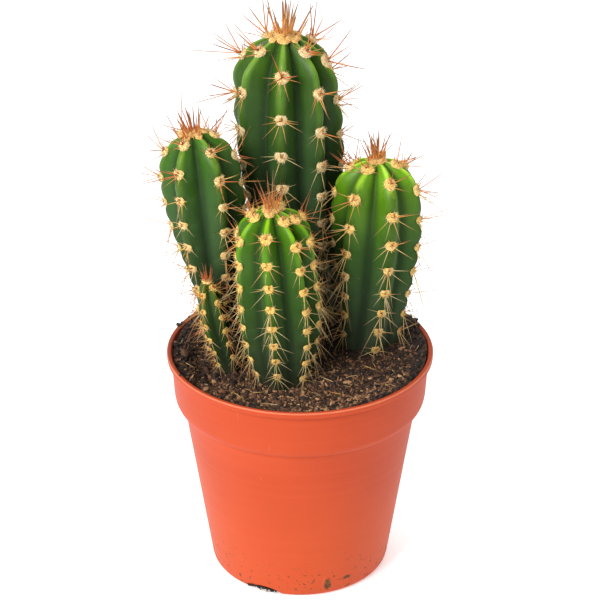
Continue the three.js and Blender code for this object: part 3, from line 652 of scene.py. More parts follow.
class Stem:
    """One ribbed stem, with the axis, crests and areole spacing that the part's source gives it."""

    def __init__(self, name, sizes):
        self.name = name
        self.foot = np.array(sizes["foot"], float)
        self.tip = np.array(sizes["tip"], float)
        self.knee = (self.foot + self.tip) / 2 + np.array((*sizes["bow"], 0))
        self.radii = sizes["radii"]
        self.dome_start = sizes["dome_start"]
        self.first = sizes["first"]
        self.pitch = sizes["pitch"]
        self.shrink = sizes["shrink"]
        self.least_pitch = sizes["least_pitch"]
        self.pad = sizes["pad"]
        self.crown = sizes["crown"]
        self.spread_ribs(sizes["ribs"], sizes["rib_count"])
        self.measure_crest()

    def spread_ribs(self, ribs, count):
        """The ribs seen from the front, then the rest evenly behind."""
        ribs = [list(rib) for rib in ribs]
        first, last = ribs[0], ribs[-1]
        hidden = count - len(ribs)
        for h in range(1, hidden + 1):
            share = h / (hidden + 1)
            foot = last[0] + share * (first[0] + 360 - last[0])
            crown = last[1] + share * (first[1] + 360 - last[1])
            ribs.append([foot, crown, 0.5 * ((math.floor(2 * last[2] + 0.5) + h) % 2)])
        self.foot_bearing, self.crown_bearing, self.stagger = np.array(ribs).T
        self.parity = np.abs(np.floor(2 * self.stagger + 0.5)) % 2
        self.shift = self.stagger - self.parity / 2

    def measure_crest(self):
        """Tables of the distance down a crest from the apex against the height and the step."""
        self.height_table = 1 - (np.arange(301) / 300) ** 2
        radius = self.crest_radius(self.height_table)
        at = self.axis(self.height_table)[0]
        steps = np.hypot(np.diff(radius), np.linalg.norm(np.diff(at, axis=0), axis=1))
        self.distance_table = np.concatenate(([0], np.cumsum(steps)))
        self.length = self.distance_table[-1]
        self.step_table = np.linspace(-1, 40, 2000)
        self.areole_table = self.areole_distance(self.step_table)

    def axis(self, t):
        """The axis at height t, with its direction and the two directions across it."""
        t = np.asarray(t, float)[..., None]
        at = (1 - t) ** 2 * self.foot + 2 * t * (1 - t) * self.knee + t**2 * self.tip
        along = unit((1 - t) * (self.knee - self.foot) + t * (self.tip - self.knee))
        square = eased(t, 0, SQUARE_AT)
        axis = unit((1 - square) * np.array((0, 0, 1)) + square * along)
        across = unit(np.array((1, 0, 0)) - axis * axis[..., :1])
        return at, axis, across, np.cross(axis, across)

    def crest_radius(self, t):
        t = np.asarray(t, float)
        x = 3 * np.clip(t, 0, self.dome_start) / self.dome_start
        r0, r1, r2, r3 = self.radii
        body = (
            -r0 * (x - 1) * (x - 2) * (x - 3) / 6 + r1 * x * (x - 2) * (x - 3) / 2
            - r2 * x * (x - 1) * (x - 3) / 2 + r3 * x * (x - 1) * (x - 2) / 6
        )
        rise = np.clip((t - self.dome_start) / (1 - self.dome_start), 0, 1)
        return body * np.sqrt(1 - rise**DOME_POWER)

    def height(self, distance):
        return np.interp(distance, self.distance_table, self.height_table)

    def areole_distance(self, step):
        """How far down a crest the areole is that is step steps from the first one."""
        turn = (self.pitch - self.least_pitch) / (2 * self.shrink)
        v = np.minimum(step, turn)
        return self.first + self.pitch * v - self.shrink * v * v + self.least_pitch * (step - v)

    def skin(self, distance, place):
        """Points of the skin, a distance down from the apex and a place round it, in ribs."""
        distance, place = np.broadcast_arrays(np.asarray(distance, float), np.asarray(place, float))
        count = len(self.stagger)
        t = self.height(distance)
        index = np.floor(place).astype(int)
        phase = place - index
        here, after = index % count, (index + 1) % count
        turn = np.where(after < here, 360, 0)
        start = self.foot_bearing[here] + t * (self.crown_bearing[here] - self.foot_bearing[here])
        end = self.foot_bearing[after] + t * (self.crown_bearing[after] - self.foot_bearing[after])
        bearing = np.radians(start + phase * (end + turn - start))
        steepest = math.hypot(1, FURROW_ROUNDNESS)
        slope = 1 - np.hypot(1 - 2 * np.minimum(phase, 1 - phase), FURROW_ROUNDNESS)
        slope = (slope + steepest - 1) / (steepest - FURROW_ROUNDNESS)
        k = CREST_ROUNDNESS
        crest = 1 - (np.hypot(slope, k) - k) / (math.hypot(1, k) - k)
        nearest = np.where(phase < 0.5, here, after)
        step = np.interp(distance, self.areole_table, self.step_table) - self.stagger[nearest]
        swell = np.abs(np.sin(math.pi * step))
        depth = FOOT_FURROW_DEPTH + (FURROW_DEPTH - FOOT_FURROW_DEPTH) * eased(t, 0, FURROW_FULL_AT)
        depth = depth + (CROWN_FURROW_DEPTH - FURROW_DEPTH) * eased(t, self.dome_start - 0.1, 1)
        ribbed = 1 - depth * (1 - crest) + CREST_BULGE * (swell - CREST_REST) * crest**2
        radius = self.crest_radius(t) * ribbed
        at, axis, across, back = self.axis(t)
        out = across * np.sin(bearing)[..., None] - back * np.cos(bearing)[..., None]
        return {"at": at + out * radius[..., None], "out": out, "t": t, "crest": crest}

    def areoles(self):
        """The areoles down each crest, with their frame and age, and the newest, near the apex."""
        grown, newest = [], []
        for rib, (parity, shift) in enumerate(zip(self.parity, self.shift)):
            step = shift - parity / 2
            while self.areole_distance(step) < self.length - BARE_FOOT:
                distance = self.areole_distance(step)
                if distance >= self.crown + 0.7 * self.pad:
                    grown.append(self.areole(distance, rib))
                elif distance > 0:
                    newest.append((distance, rib))
                step += 1
        return grown, newest

    def areole(self, distance, rib):
        """An areole on a crest: its place, the three directions it is set by, and its age."""
        upper, middle, lower = self.skin(distance + np.array((-1, 0, 1)), float(rib))["at"]
        up = unit(upper - lower)
        t = float(self.height(distance))
        out = middle - self.axis(t)[0]
        normal = unit(out - up * (out @ up))
        return {"at": middle, "up": up, "normal": normal, "side": np.cross(up, normal),
                "age": 1 - t, "rib": int(rib), "distance": distance}


def skin_mesh(stem):
    """The skin as rings from the apex down to the soil, then in to the root below it."""
    columns = SKIN_COLUMNS[stem.name]
    rows = np.arange(APEX_STEPS[-1], stem.length, SKIN_STEP[stem.name])[1:]
    distance = np.concatenate((APEX_STEPS, rows, [stem.length]))
    place = np.arange(len(stem.stagger) * columns) / columns
    skin = stem.skin(distance[:, None], place[None, :])
    at = skin["at"]
    shape = at.shape[:2]
    steady = eased(distance, 0, 6)[:, None, None]
    relief = lumps(at.reshape(-1, 3), SKIN_LUMPS, shift=17).reshape(*shape, 1)
    at = at + skin["out"] * relief * steady * stem.radii[2] / 20
    rings = list(at)
    for depth, share in ROOT_STEPS:
        ring = rings[len(at) - 1].copy()
        ring[:, :2] = stem.foot[:2] + share * (ring[:, :2] - stem.foot[:2])
        ring[:, 2] = stem.foot[2] - depth
        rings.append(ring)
    below = np.ones(len(ROOT_STEPS) * shape[1])
    points, faces = closed_rings(rings, stem.tip, stem.foot - (0, 0, ROOT_STEPS[-1][0]))
    return new_mesh(f"{stem.name}_skin", points, faces, numbers={
        "crest": np.concatenate((skin["crest"].ravel(), below, [1, 1])),
        "age": np.concatenate((1 - skin["t"].ravel(), below, [0, 1])),
    })


# Screen colours of the skin at five ages from the crown to the foot, on the flanks and in the line
# along the crests. The crest line is partly the crests' paler skin and partly a painted highlight.
SKIN_AGES = (0, 0.14, 0.4, 0.7, 0.95)
SKIN_COLOURS = {
    "tall": {
        "flank": ((64, 100, 22), (44, 76, 14), (44, 71, 31), (47, 67, 42), (46, 57, 38)),
        "crest": ((116, 154, 52), (76, 112, 28), (41, 62, 17), (41, 59, 28), (42, 50, 32)),
    },
    "left": {
        "flank": ((60, 104, 20), (44, 82, 14), (45, 74, 30), (39, 56, 34), (40, 50, 32)),
        "crest": ((110, 148, 42), (65, 97, 21), (51, 76, 21), (43, 60, 28), (42, 50, 30)),
    },
    "right": {
        "flank": ((104, 154, 28), (76, 118, 12), (46, 80, 20), (54, 78, 44), (55, 67, 47)),
        "crest": ((184, 234, 64), (69, 104, 7), (47, 75, 8), (46, 66, 26), (46, 55, 32)),
    },
    "front": {
        "flank": ((72, 118, 4), (54, 94, 2), (40, 74, 8), (42, 64, 26), (43, 54, 32)),
        "crest": ((138, 186, 22), (86, 136, 6), (66, 104, 10), (54, 82, 22), (50, 61, 30)),
    },
    "small": {
        "flank": ((86, 84, 22), (50, 78, 10), (34, 58, 10), (34, 54, 16), (36, 46, 22)),
        "crest": ((112, 106, 34), (78, 106, 24), (62, 90, 22), (54, 76, 28), (50, 60, 32)),
    },
}


def waxy_skin(name):
    """Satin green skin: a light line along each crest, partly a painted highlight, painted shade in
    the furrows, faint blotches and old scars.
    """
    material, tree = new_material(f"{name}_waxy_skin")
    place = tree.place()
    crest = tree.value("crest")
    age = tree.value("age")
    blotch = tree.noise(place, 14, 4, 0.6)
    streak = tree.noise(tree.stretched((1, 1, 0.25)), 3.5, 3)
    fine = tree.noise(place, 0.9, 2)
    worn = age + 0.22 * (blotch - 0.5) + 0.1 * (streak - 0.5)
    flank = tree.ramp(worn, dict(zip(SKIN_AGES, SKIN_COLOURS[name]["flank"])))
    crest_colour_and_highlight = tree.ramp(worn, dict(zip(SKIN_AGES, SKIN_COLOURS[name]["crest"])))
    # The line along each crest: paler skin, and a painted highlight where light catches the crest
    line = (crest + 0.12 * (streak - 0.5) - 0.1 * age).step(0.76, 1.0)
    colour = tree.mix(line, flank, crest_colour_and_highlight)
    # Painted shade: the furrows are darkened, where less light falls between the ribs
    furrow_shade = 1 - (crest + 0.1 * (blotch - 0.5)).step(0.0, 0.5)
    colour = tree.mix(0.6 * furrow_shade, colour, tint(27, 39, 26))
    speckle = (fine - 0.5) * 0.3 + (blotch - 0.5) * 0.5
    colour = tree.mix(speckle.step(0.0, 0.35) * 0.3, colour, tint(84, 116, 62))
    scar = tree.noise(place, 2.4, 3, 0.7).step(0.7, 0.735) * (age + 0.5 * blotch).step(0.5, 0.95)
    colour = tree.mix(scar * 0.6, colour, tint(118, 112, 80))
    cork = (age + 0.12 * (streak - 0.5) + 0.1 * (fine - 0.5)).step(0.93, 1.03)
    colour = tree.mix(cork * 0.6, colour, tint(54, 46, 30))
    dull = 0.28 + 0.14 * blotch + 0.06 * fine + 0.1 * age
    dull = dull + 0.4 * age.step(0.2, 0.6) + 0.3 * furrow_shade * furrow_shade
    tree.surface({
        "Base Color": colour,
        "Roughness": dull,
        "Normal": tree.bump(0.4 * streak + 0.35 * fine + 0.5 * scar + 0.6 * cork, 0.25),
        "Specular IOR Level": 0.19,
        "Subsurface Weight": 0.1,
        "Subsurface Radius": (0.5, 1.0, 0.25),
        "Subsurface Scale": 2.5 * MM,
    })
    return material


stems = [Stem(name, sizes) for name, sizes in STEMS.items()]
for stem in stems:
    skin = new_object(f"{stem.name}_skin", skin_mesh(stem), waxy_skin(stem.name))
    skin.data.shade_smooth()
    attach(skin, "root")
    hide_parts(f"stem_{stem.name}")


# Areoles: a cushion of cream felt at every step down each crest, grown out of the skin, with brown
# dots where the spines leave it, and a thick tuft of new felt in the middle of each crown.

# How wide and how golden each stem's felt is, and how wide its newest pads are; widths are shares
# of the stem's pad, from a young areole's to what it shrinks by
FELT_WIDTH = {"tall": 1.14, "left": 1.14, "right": 1.17, "front": 1.26, "small": 1.15}
FELT_GOLD = {"tall": 0.1, "left": 0.45, "right": 0.75, "front": 0.9, "small": 1.0}
NEW_PAD = {"tall": 1.45, "left": 1.3, "right": 1.35, "front": 1.15, "small": 1.2}
NEW_GOLD = 1.6
YOUNG_WIDTH = 1.12
OLD_SHRINK = 0.34
FELT_RISE = 0.5
FELT_SINK = 0.12
FELT_LUMP = 0.9
FELT_LUMP_HEIGHT = 0.55
WOOL_RADIUS = {"tall": 6.8, "left": 5.8, "right": 6.2, "front": 5.4, "small": 3.4}
# Rings of tufts in the crown's wool: distance from the apex, turn in ribs, and width. The two
# highest crowns have one more outside these.
WOOL_RINGS = ((0.68, 0.5, 0.31), (0.42, 0, 0.37), (0.1, 0.5, 0.38))
WOOL_FRINGE = {"tall": ((1.0, 0, 0.28),), "left": ((0.92, 0, 0.27),)}
HAIR_SPACING = 0.4
HAIR_LENGTH = 1.3
HAIR_WIDTH = 0.14
HAIR_LEAN = 0.62
SHIELD = 0.24
FELT_SEED = 11


def crown_areoles(stem, newest):
    """The newest areoles, near the apex on every other rib, and the tuft of wool inside them."""
    found = []
    reach = WOOL_RADIUS[stem.name]
    pad = stem.pad * NEW_PAD[stem.name]
    spots = [(distance, rib, pad) for distance, rib in newest if distance > 0.6 * reach]
    for far, stagger, wide in (*WOOL_FRINGE.get(stem.name, ()), *WOOL_RINGS):
        spots += [(reach * far, rib + stagger, reach * wide) for rib in range(len(stem.stagger))]
    apex, axis = stem.axis(1.0)[:2]
    for distance, place, width in spots:
        spot = stem.skin(distance, place)["at"]
        outward = unit(spot - apex - axis * ((spot - apex) @ axis))
        normal = unit(axis + outward * 0.6 * distance / reach)
        up = unit(axis - normal * (axis @ normal) - outward * 0.01)
        found.append({"at": spot, "up": up, "normal": normal, "side": np.cross(up, normal),
                      "age": 0.0, "rib": int(place), "distance": distance, "width": width})
    return found


felt, tree = new_material("cream_felt")
place = tree.place()
age = tree.value("age")
heart = tree.value("heart")
tuft = tree.noise(place, 0.8, 3, 0.6)
patch = tree.noise(place, 9, 2)
lobes = tree.noise(place, 2.4, 2)
cream = tree.ramp(tuft, {0.3: (188, 152, 94), 0.5: (226, 202, 150), 0.7: (246, 234, 198)})
gold = tree.ramp(tuft, {0.3: (194, 136, 46), 0.5: (234, 190, 86), 0.7: (250, 224, 134)})
new = tree.ramp(tuft, {0.3: (182, 126, 56), 0.5: (226, 178, 96), 0.7: (248, 218, 146)})
colour = tree.mix(tree.value("gold") + 0.5 * (patch - 0.5) + 1.8 * (lobes - 0.5), cream, gold)
colour = tree.mix((tree.value("gold") - 1.1) * 2, colour, new)
dusty = tree.ramp(tuft, {0.3: (160, 122, 70), 0.6: (216, 180, 116)})
colour = tree.mix((age + 0.3 * (patch - 0.5)).step(0.8, 1.25), colour, dusty)
colour = tree.mix((heart * (0.6 + 0.8 * tuft)).step(0.45, 0.8) * 0.6, colour, tint(178, 108, 40))
tree.surface({
    "Base Color": colour,
    "Roughness": 0.9 + 0.1 * tuft,
    "Normal": tree.bump(tuft, 0.35),
    "Specular IOR Level": 0.15,
    "Sheen Weight": 0.35,
    "Sheen Roughness": 0.6,
    "Subsurface Weight": 0.1,
    "Subsurface Scale": 1 * MM,
})

group, tree, sizes = new_growth("felt_cushions", {
    "Rise": "Float", "Lump": "Float", "Lump Height": "Float", "Hair Spacing": "Float",
    "Hair Length": "Float", "Hair Width": "Float", "Hair Lean": "Float", "Shield": "Float",
    "Seed": "Int",
})


def carried(tree, name, kind="FLOAT"):
    """A number or vector that the points bring with them."""
    settings = {"data_type": kind}
    return tree.node("GeometryNodeInputNamedAttribute", settings, {"Name": name}, "Attribute")


def draw(tree, sizes, low, high, shift):
    """A random number between two others, by the tree's own seed."""
    ends = {"Min": low, "Max": high, "Seed": sizes.also("Seed") + shift}
    return tree.node("FunctionNodeRandomValue", {"data_type": "FLOAT"}, ends)


def roughened(tree, mesh, grain, rise, detail):
    """Pushes a mesh's points about by noise, in lumps grain across that stand rise high."""
    sockets = {"Vector": tree.node("GeometryNodeInputPosition"), "Scale": 1 / grain, "Detail": detail}
    lump = tree.node("ShaderNodeTexNoise", {}, sockets, "Color")
    push = tree.vector("SCALE", tree.vector("SUBTRACT", lump, (0.5, 0.5, 0.5)), 2 * rise)
    return tree.node("GeometryNodeSetPosition", {}, {"Geometry": mesh, "Offset": push})


cushion = tree.node("GeometryNodeMeshIcoSphere", {}, {"Radius": 1, "Subdivisions": 2}, "Mesh")
# The cushion is a shield, wider at its upper edge
spot = tree.node("ShaderNodeSeparateXYZ", {}, {"Vector": tree.node("GeometryNodeInputPosition")}, "X")
shield = tree.combined(spot * spot.also("Y") * sizes.also("Shield"))
cushion = tree.node("GeometryNodeSetPosition", {}, {"Geometry": cushion, "Offset": shield})
facing = carried(tree, "facing", "FLOAT_VECTOR")
upward = carried(tree, "upward", "FLOAT_VECTOR")
axes = {"primary_axis": "Z", "secondary_axis": "Y"}
ways = {"Primary Axis": facing, "Secondary Axis": upward}
turn = tree.node("FunctionNodeAxesToRotation", axes, ways)
width = carried(tree, "width")
wide, tall = [width * draw(tree, sizes, 0.9, 1.12, shift) for shift in (1, 2)]
girth = tree.combined(wide, tall, width * sizes.also("Rise"))
pads = set_on(tree, sizes.also("Geometry"), cushion, Rotation=turn, Scale=girth)
pads = roughened(tree, pads, sizes.also("Lump"), sizes.also("Lump Height"), 2)
normal = tree.node("GeometryNodeInputNormal")
lift = tree.vector("DOT_PRODUCT", normal, facing)
# The spines leave each cushion a little above its middle
above = tree.vector("ADD", tree.vector("SCALE", upward, 0.3), facing)
middle = tree.vector("DOT_PRODUCT", normal, above)
heart = {"Geometry": pads, "Name": "heart", "Value": middle.step(0.99, 1.04)}
pads = tree.node("GeometryNodeStoreNamedAttribute", {"data_type": "FLOAT", "domain": "POINT"}, heart)
roots = tree.node("GeometryNodeDistributePointsOnFaces", {"distribute_method": "POISSON"}, {
    "Mesh": pads, "Selection": lift > -0.1, "Distance Min": sizes.also("Hair Spacing"),
    "Density Max": 0.9 / (sizes.also("Hair Spacing") ** 2), "Seed": sizes.also("Seed"),
})
hair = tree.node("GeometryNodeMeshCone", {}, {
    "Vertices": 3, "Radius Top": 0.0, "Radius Bottom": sizes.also("Hair Width"),
    "Depth": sizes.also("Hair Length"),
}, "Mesh")
lean = sizes.also("Hair Lean")
tip_over = tree.combined(
    draw(tree, sizes, -1, 1, 3) * lean, draw(tree, sizes, -1, 1, 4) * lean,
    draw(tree, sizes, 0, 6.28, 5),
)
tip_over = tree.node("FunctionNodeEulerToRotation", {}, {"Euler": tip_over})
ways = {"Rotation": roots.also("Rotation"), "Rotate By": tip_over}
stand = tree.node("FunctionNodeRotateRotation", {"rotation_space": "LOCAL"}, ways)
hairs = set_on(tree, roots, hair, Rotation=stand, Scale=draw(tree, sizes, 0.55, 1.25, 6))
close_growth(tree, sizes, tree.node("GeometryNodeJoinGeometry", {}, {"Geometry": [hairs, pads]}))

for stem in stems:
    stem.down, newest = stem.areoles()
    stem.top = crown_areoles(stem, newest)
    for areole in stem.down:
        spread = YOUNG_WIDTH - OLD_SHRINK * areole["age"]
        areole["width"] = FELT_WIDTH[stem.name] * stem.pad * spread
    both = [*stem.down, *stem.top]
    points = [a["at"] + a["normal"] * a["width"] * FELT_SINK for a in both]
    mesh = new_mesh(f"{stem.name}_felt", points, numbers={
        "facing": [a["normal"] for a in both], "upward": [a["up"] for a in both],
        "width": [MM * a["width"] for a in both], "age": [a["age"] for a in both],
        "gold": [FELT_GOLD[stem.name]] * len(stem.down) + [NEW_GOLD] * len(stem.top),
    })
    pads = grow(f"{stem.name}_felt", mesh, group, {
        "Rise": FELT_RISE, "Lump": FELT_LUMP * MM, "Lump Height": FELT_LUMP_HEIGHT * MM,
        "Hair Spacing": HAIR_SPACING * MM, "Hair Length": HAIR_LENGTH * MM,
        "Hair Width": HAIR_WIDTH * MM, "Hair Lean": HAIR_LEAN, "Shield": SHIELD,
        "Seed": FELT_SEED + len(stem.name), "Material": felt,
    })
    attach(pads, "root")


# Spines: stiff needles that stand in the felt, a star of thin ones round each areole and a few
# stout ones in its middle. They are rust-coloured when new and bleach to straw with age.

# Each star's spines are azimuth clockwise from the crown, tilt from the skin's normal, and length
STARS = {
    "tall": (
        (75, 66, 8), (100, 68, 9.5), (148, 62, 12.5), (188, 60, 12), (226, 62, 12.5), (262, 67, 10),
        (288, 66, 8),
    ),
    "left": ((70, 62, 7), (104, 64, 9), (150, 60, 10), (200, 58, 10), (250, 62, 9.5), (290, 64, 7.5)),
    "right": ((80, 62, 8), (118, 62, 11), (160, 58, 13), (205, 58, 14), (245, 62, 11), (285, 62, 8)),
    "front": (
        (74, 64, 6.5), (106, 68, 8.5), (150, 66, 9.5), (184, 64, 9), (214, 66, 10), (256, 68, 9),
        (288, 64, 6.5),
    ),
    "small": ((76, 58, 6), (118, 60, 8), (160, 58, 9.5), (205, 58, 9.5), (245, 60, 8), (285, 58, 6)),
}
# The stout spines: how many stand in an areole, their length in an old and in a young one, the
# length and odds of a long one, their radius, and the length, number and hue of those in the crown
MIDDLES = {
    "tall": {
        "count": 1.3, "length": 12, "young": 17, "long": 27, "odds": 0.2,
        "stout": 0.34, "tuft": 18, "tufts": 0.75, "hue": 0.68,
    },
    "left": {
        "count": 1.2, "length": 11, "young": 13, "long": 18, "odds": 0.15,
        "stout": 0.25, "tuft": 12.5, "tufts": 1.0, "hue": 0.92,
    },
    "right": {
        "count": 1.0, "length": 12, "young": 12, "long": 18, "odds": 0.15,
        "stout": 0.26, "tuft": 15, "tufts": 1.2, "hue": 0.78,
    },
    "front": {
        "count": 0.7, "length": 9, "young": 12, "long": 14, "odds": 0.12,
        "stout": 0.14, "tuft": 17, "tufts": 1.1, "hue": 0.85,
    },
    "small": {
        "count": 0.9, "length": 9, "young": 8, "long": 13, "odds": 0.2,
        "stout": 0.14, "tuft": 8.5, "tufts": 1.5, "hue": 1.0,
    },
}
STAR_RADIUS = {"tall": 0.19, "left": 0.17, "right": 0.18, "front": 0.145, "small": 0.115}
# The long thin spines that hang from old areoles: their tone and reach, and the age they start at
OLD_TONE = {"tall": 0.3, "left": 0.75, "right": 0.2, "front": 0.15, "small": 0.85}
OLD_REACH = {"tall": 1, "left": 1, "right": 1, "front": 0.8, "small": 0.62}
OLD_AGE = {"tall": 0.4, "left": 0.4, "right": 0.4, "front": 0.4, "small": 0.1}
# Very long spines in the outline: rib, place below the crown, direction in the frame, length
LONG_SPINES = {
    "tall": (
        (0, 0, (-1, -0.15, 0.12), 27), (0, 0, (-0.75, -0.1, 0.62), 20), (0, 1, (-1, -0.2, -0.22), 24),
        (0, 1, (-0.9, -0.1, 0.35), 15), (1, 0, (-0.62, -0.1, 0.78), 22), (4, 0, (0.8, -0.1, 0.6), 15),
        (4, 1, (0.9, 0, -0.45), 14), (4, 1, (0.75, 0, 0.66), 14), (3, 0, (0.75, 0.1, 0.66), 22),
    ),
    "left": ((0, 0, (-0.7, 0, 0.72), 14), (0, 1, (-0.95, 0, 0.2), 12)),
    "right": ((3, 1, (0.9, 0, -0.4), 13), (3, 2, (0.95, 0, 0.2), 13)),
    "small": ((0, 0, (-0.85, 0, 0.55), 11), (0, 0, (-0.98, 0, 0.2), 11)),
}
# Places along a spine, and its thickness at each
SPINE_SHARES = np.array((0, 0.07, 0.35, 0.7, 1.0))
SPINE_TAPER = np.array((1.35, 1.0, 0.94, 0.76, 0.26))
SPINE_SIDES = 5
SPINE_SEED = 100
# Where a spine is probed for what stands near, and how much each new try lifts and shortens it
PROBES = np.array((0.35, 0.6, 0.8, 1.0))[:, None]
TRIES = 7
LIFT = 0.11
SHORTEN = 0.07
# How a star varies: the share missing at the crown and what age adds, the spread of azimuth and
# tilt, the flattest tilt, and how much a young star stands up
STAR_GAPS = 0.06
STAR_GAPS_WITH_AGE = 0.36
STAR_SPREAD = (9, 6)
STAR_FLATTEST = 78
STAR_YOUNG_LIFT = 14


def too_close(stem, points):
    """Whether any point is in the soil, in the rim or in another stem."""
    x, y, z = points.T
    reach = np.hypot(x, y)
    if np.any(z < soil_level(x, y) + 0.5) or np.any((z < POT_HEIGHT + 1) & (reach > 61)):
        return True
    for other in stems:
        if other is stem:
            continue
        t = (z - other.foot[2]) / (other.tip[2] - other.foot[2])
        apart = np.linalg.norm(points - other.axis(np.clip(t, 0, 1))[0], axis=1)
        if np.any((apart < other.crest_radius(np.clip(t, 0, 1)) + 1) & (t < 1.02)):
            return True
    return False


class Bristles:
    """Spines or fibres as polylines, with their radius, place along and tone."""

    def __init__(self):
        self.points, self.edges = [], []
        self.radius, self.along, self.tone = [], [], []

    def add(self, root, direction, length, radius, tone, bend=(0, 0, 0)):
        start = len(self.points)
        s = SPINE_SHARES[:, None]
        self.points += list(root + direction * length * s + np.array(bend) * length * s * s)
        self.edges += [(start + k, start + k + 1) for k in range(len(s) - 1)]
        self.radius += list(MM * radius * SPINE_TAPER)
        self.along += list(SPINE_SHARES)
        self.tone += [tone] * len(s)

    def mesh(self, name):
        """The polylines as a mesh of edges."""
        numbers = {"girth": self.radius, "along": self.along, "tone": self.tone}
        return new_mesh(name, self.points, edges=self.edges, numbers=numbers)


def pointing(areole, azimuth, tilt):
    """A direction out of an areole."""
    azimuth, tilt = math.radians(azimuth), math.radians(tilt)
    flat = areole["up"] * math.cos(azimuth) + areole["side"] * math.sin(azimuth)
    return areole["normal"] * math.cos(tilt) + flat * math.sin(tilt)


class StemSpines(Bristles):
    """All the spines of one stem, drawn from one random sequence."""

    def __init__(self, stem, seed):
        super().__init__()
        self.stem = stem
        self.chance = np.random.default_rng(seed)
        self.middle = MIDDLES[stem.name]
        self.thin = STAR_RADIUS[stem.name]
        for areole in stem.down:
            heart = self.heart(areole)
            young = float(1 - eased(areole["age"], 0.05, 0.35))
            self.add_star(areole, heart, young)
            self.add_stubs(areole, heart)
            self.add_middles(areole, heart, young)
            if areole["age"] > OLD_AGE[stem.name]:
                self.add_hanging(areole, heart)
        for rib, place, way, reach in LONG_SPINES.get(stem.name, ()):
            areole = [a for a in stem.down if a["rib"] == rib][place]
            self.add_clear(self.heart(areole), unit(np.array(way)), reach, self.thin * 1.3, 0.7)
        for areole in stem.top:
            self.add_tuft(areole)

    def heart(self, areole):
        return areole["at"] + areole["normal"] * areole["width"] * 0.45

    def about(self, tone, spread):
        """A tone near the one given."""
        return np.clip(tone + self.chance.normal(0, spread), 0, 1)

    def add_clear(self, root, direction, length, radius, tone, bend=(0, 0, 0)):
        """Adds a spine if it can be lifted or shortened until it clears what stands near."""
        for attempt in range(TRIES):
            way = unit(direction + np.array((0, 0, LIFT * attempt)))
            reach = length * (1 - SHORTEN * attempt)
            probe = root + way * reach * PROBES + np.array(bend) * reach * PROBES**2
            if not too_close(self.stem, probe):
                self.add(root, way, reach, radius, tone, bend)
                return

    def add_star(self, areole, heart, young):
        """The thin spines that lie round an areole, and a short one above its middle."""
        chance = self.chance
        age, width, normal = areole["age"], areole["width"], areole["normal"]
        for azimuth, tilt, length in STARS[self.stem.name]:
            if chance.random() < STAR_GAPS + STAR_GAPS_WITH_AGE * age:
                continue
            azimuth += chance.normal(0, STAR_SPREAD[0])
            tilt = tilt - STAR_YOUNG_LIFT * young + chance.normal(0, STAR_SPREAD[1])
            way = pointing(areole, azimuth, min(STAR_FLATTEST, tilt))
            root = heart + (way - normal * (way @ normal)) * width * 0.7 - normal * width * 0.25
            reach = length * chance.uniform(0.78, 1.2) * (1 - 0.15 * age)
            tone = self.about(0.3 + 0.35 * young - 0.45 * age, 0.12)
            bend = unit(chance.normal(0, 1, 3)) * 0.06
            radius = self.thin * chance.uniform(0.8, 1.15) * (1 - 0.22 * age)
            self.add_clear(root, way, reach, radius, tone, bend)
        azimuth = chance.uniform(-22, 22)
        way = pointing(areole, azimuth, 46 + chance.normal(0, 7))
        reach = 0.4 * self.middle["length"] * chance.uniform(0.8, 1.2)
        self.add_clear(heart + areole["up"] * width * 0.3, way, reach, self.thin * 1.15, 0.92)

    def add_stubs(self, areole, heart):
        """Short dark stubs in the felt."""
        chance, width = self.chance, areole["width"]
        for _ in range(chance.integers(2, 4)):
            way = pointing(areole, chance.uniform(-90, 90), chance.uniform(5, 30))
            root = heart + areole["side"] * width * chance.uniform(-0.3, 0.3)
            root = root + areole["up"] * width * chance.uniform(0, 0.35)
            self.add(root, way, width * 0.42, self.thin * 1.5, 1.4)

    def add_middles(self, areole, heart, young):
        """The stout spines that stand in the middle of an areole."""
        chance, middle, age = self.chance, self.middle, areole["age"]
        count = middle["count"] * (1.2 + 0.9 * young - 0.5 * age) + chance.random()
        turn = chance.choice((-60, 60)) + chance.normal(0, 25)
        for k in range(int(count)):
            azimuth = turn + 150 * k + chance.normal(0, 14)
            tilt = 34 + chance.normal(0, 7)
            length = middle["length"] + young * (middle["young"] - middle["length"])
            if chance.random() < middle["odds"]:
                length = middle["long"]
            reach = length * chance.uniform(0.8, 1.15)
            tone = self.about(0.75 + 0.2 * young - 0.4 * age, 0.1)
            way = pointing(areole, azimuth, tilt)
            radius = middle["stout"] * (0.72 + 0.28 * young)
            bend = np.array((0, 0, 0.05)) * young
            self.add_clear(heart + way * 0.2, way, reach, radius, tone, bend)

    def add_hanging(self, areole, heart):
        """Long thin spines that droop from an old areole."""
        chance, name = self.chance, self.stem.name
        for _ in range(chance.integers(1, 4)):
            azimuth = 180 + chance.normal(0, 34)
            way = pointing(areole, azimuth, 58 + chance.normal(0, 9))
            reach = chance.uniform(13, 21) * OLD_REACH[name]
            tone = self.about(OLD_TONE[name], 0.12)
            root = heart - areole["up"] * areole["width"] * 0.3
            self.add_clear(root, way, reach, self.thin * 0.85, tone, (0, 0, -0.12))

    def add_tuft(self, areole):
        """The new spines that stand up in the wool of the crown."""
        chance, middle, width = self.chance, self.middle, areole["width"]
        apex, axis = self.stem.axis(1.0)[:2]
        for _ in range(int(middle["tufts"] + chance.random())):
            lean = 0.5 * min(1.2, areole["distance"] / WOOL_RADIUS[self.stem.name])
            away = unit(areole["at"] - apex + 0.6 * chance.normal(0, 1, 3))
            away = away - axis * (away @ axis)
            way = unit(axis + away * (lean + chance.uniform(-0.15, 0.25)))
            reach = middle["tuft"] * (0.35 + 0.75 * chance.random() ** 0.8) * (1 - 0.25 * lean)
            tone = self.about(middle["hue"], 0.12)
            aside = away * width * 0.3 * chance.normal()
            root = areole["at"] + areole["normal"] * width * 0.3 + aside
            self.add_clear(root, way, reach, middle["stout"] * chance.uniform(1.1, 1.6), tone)


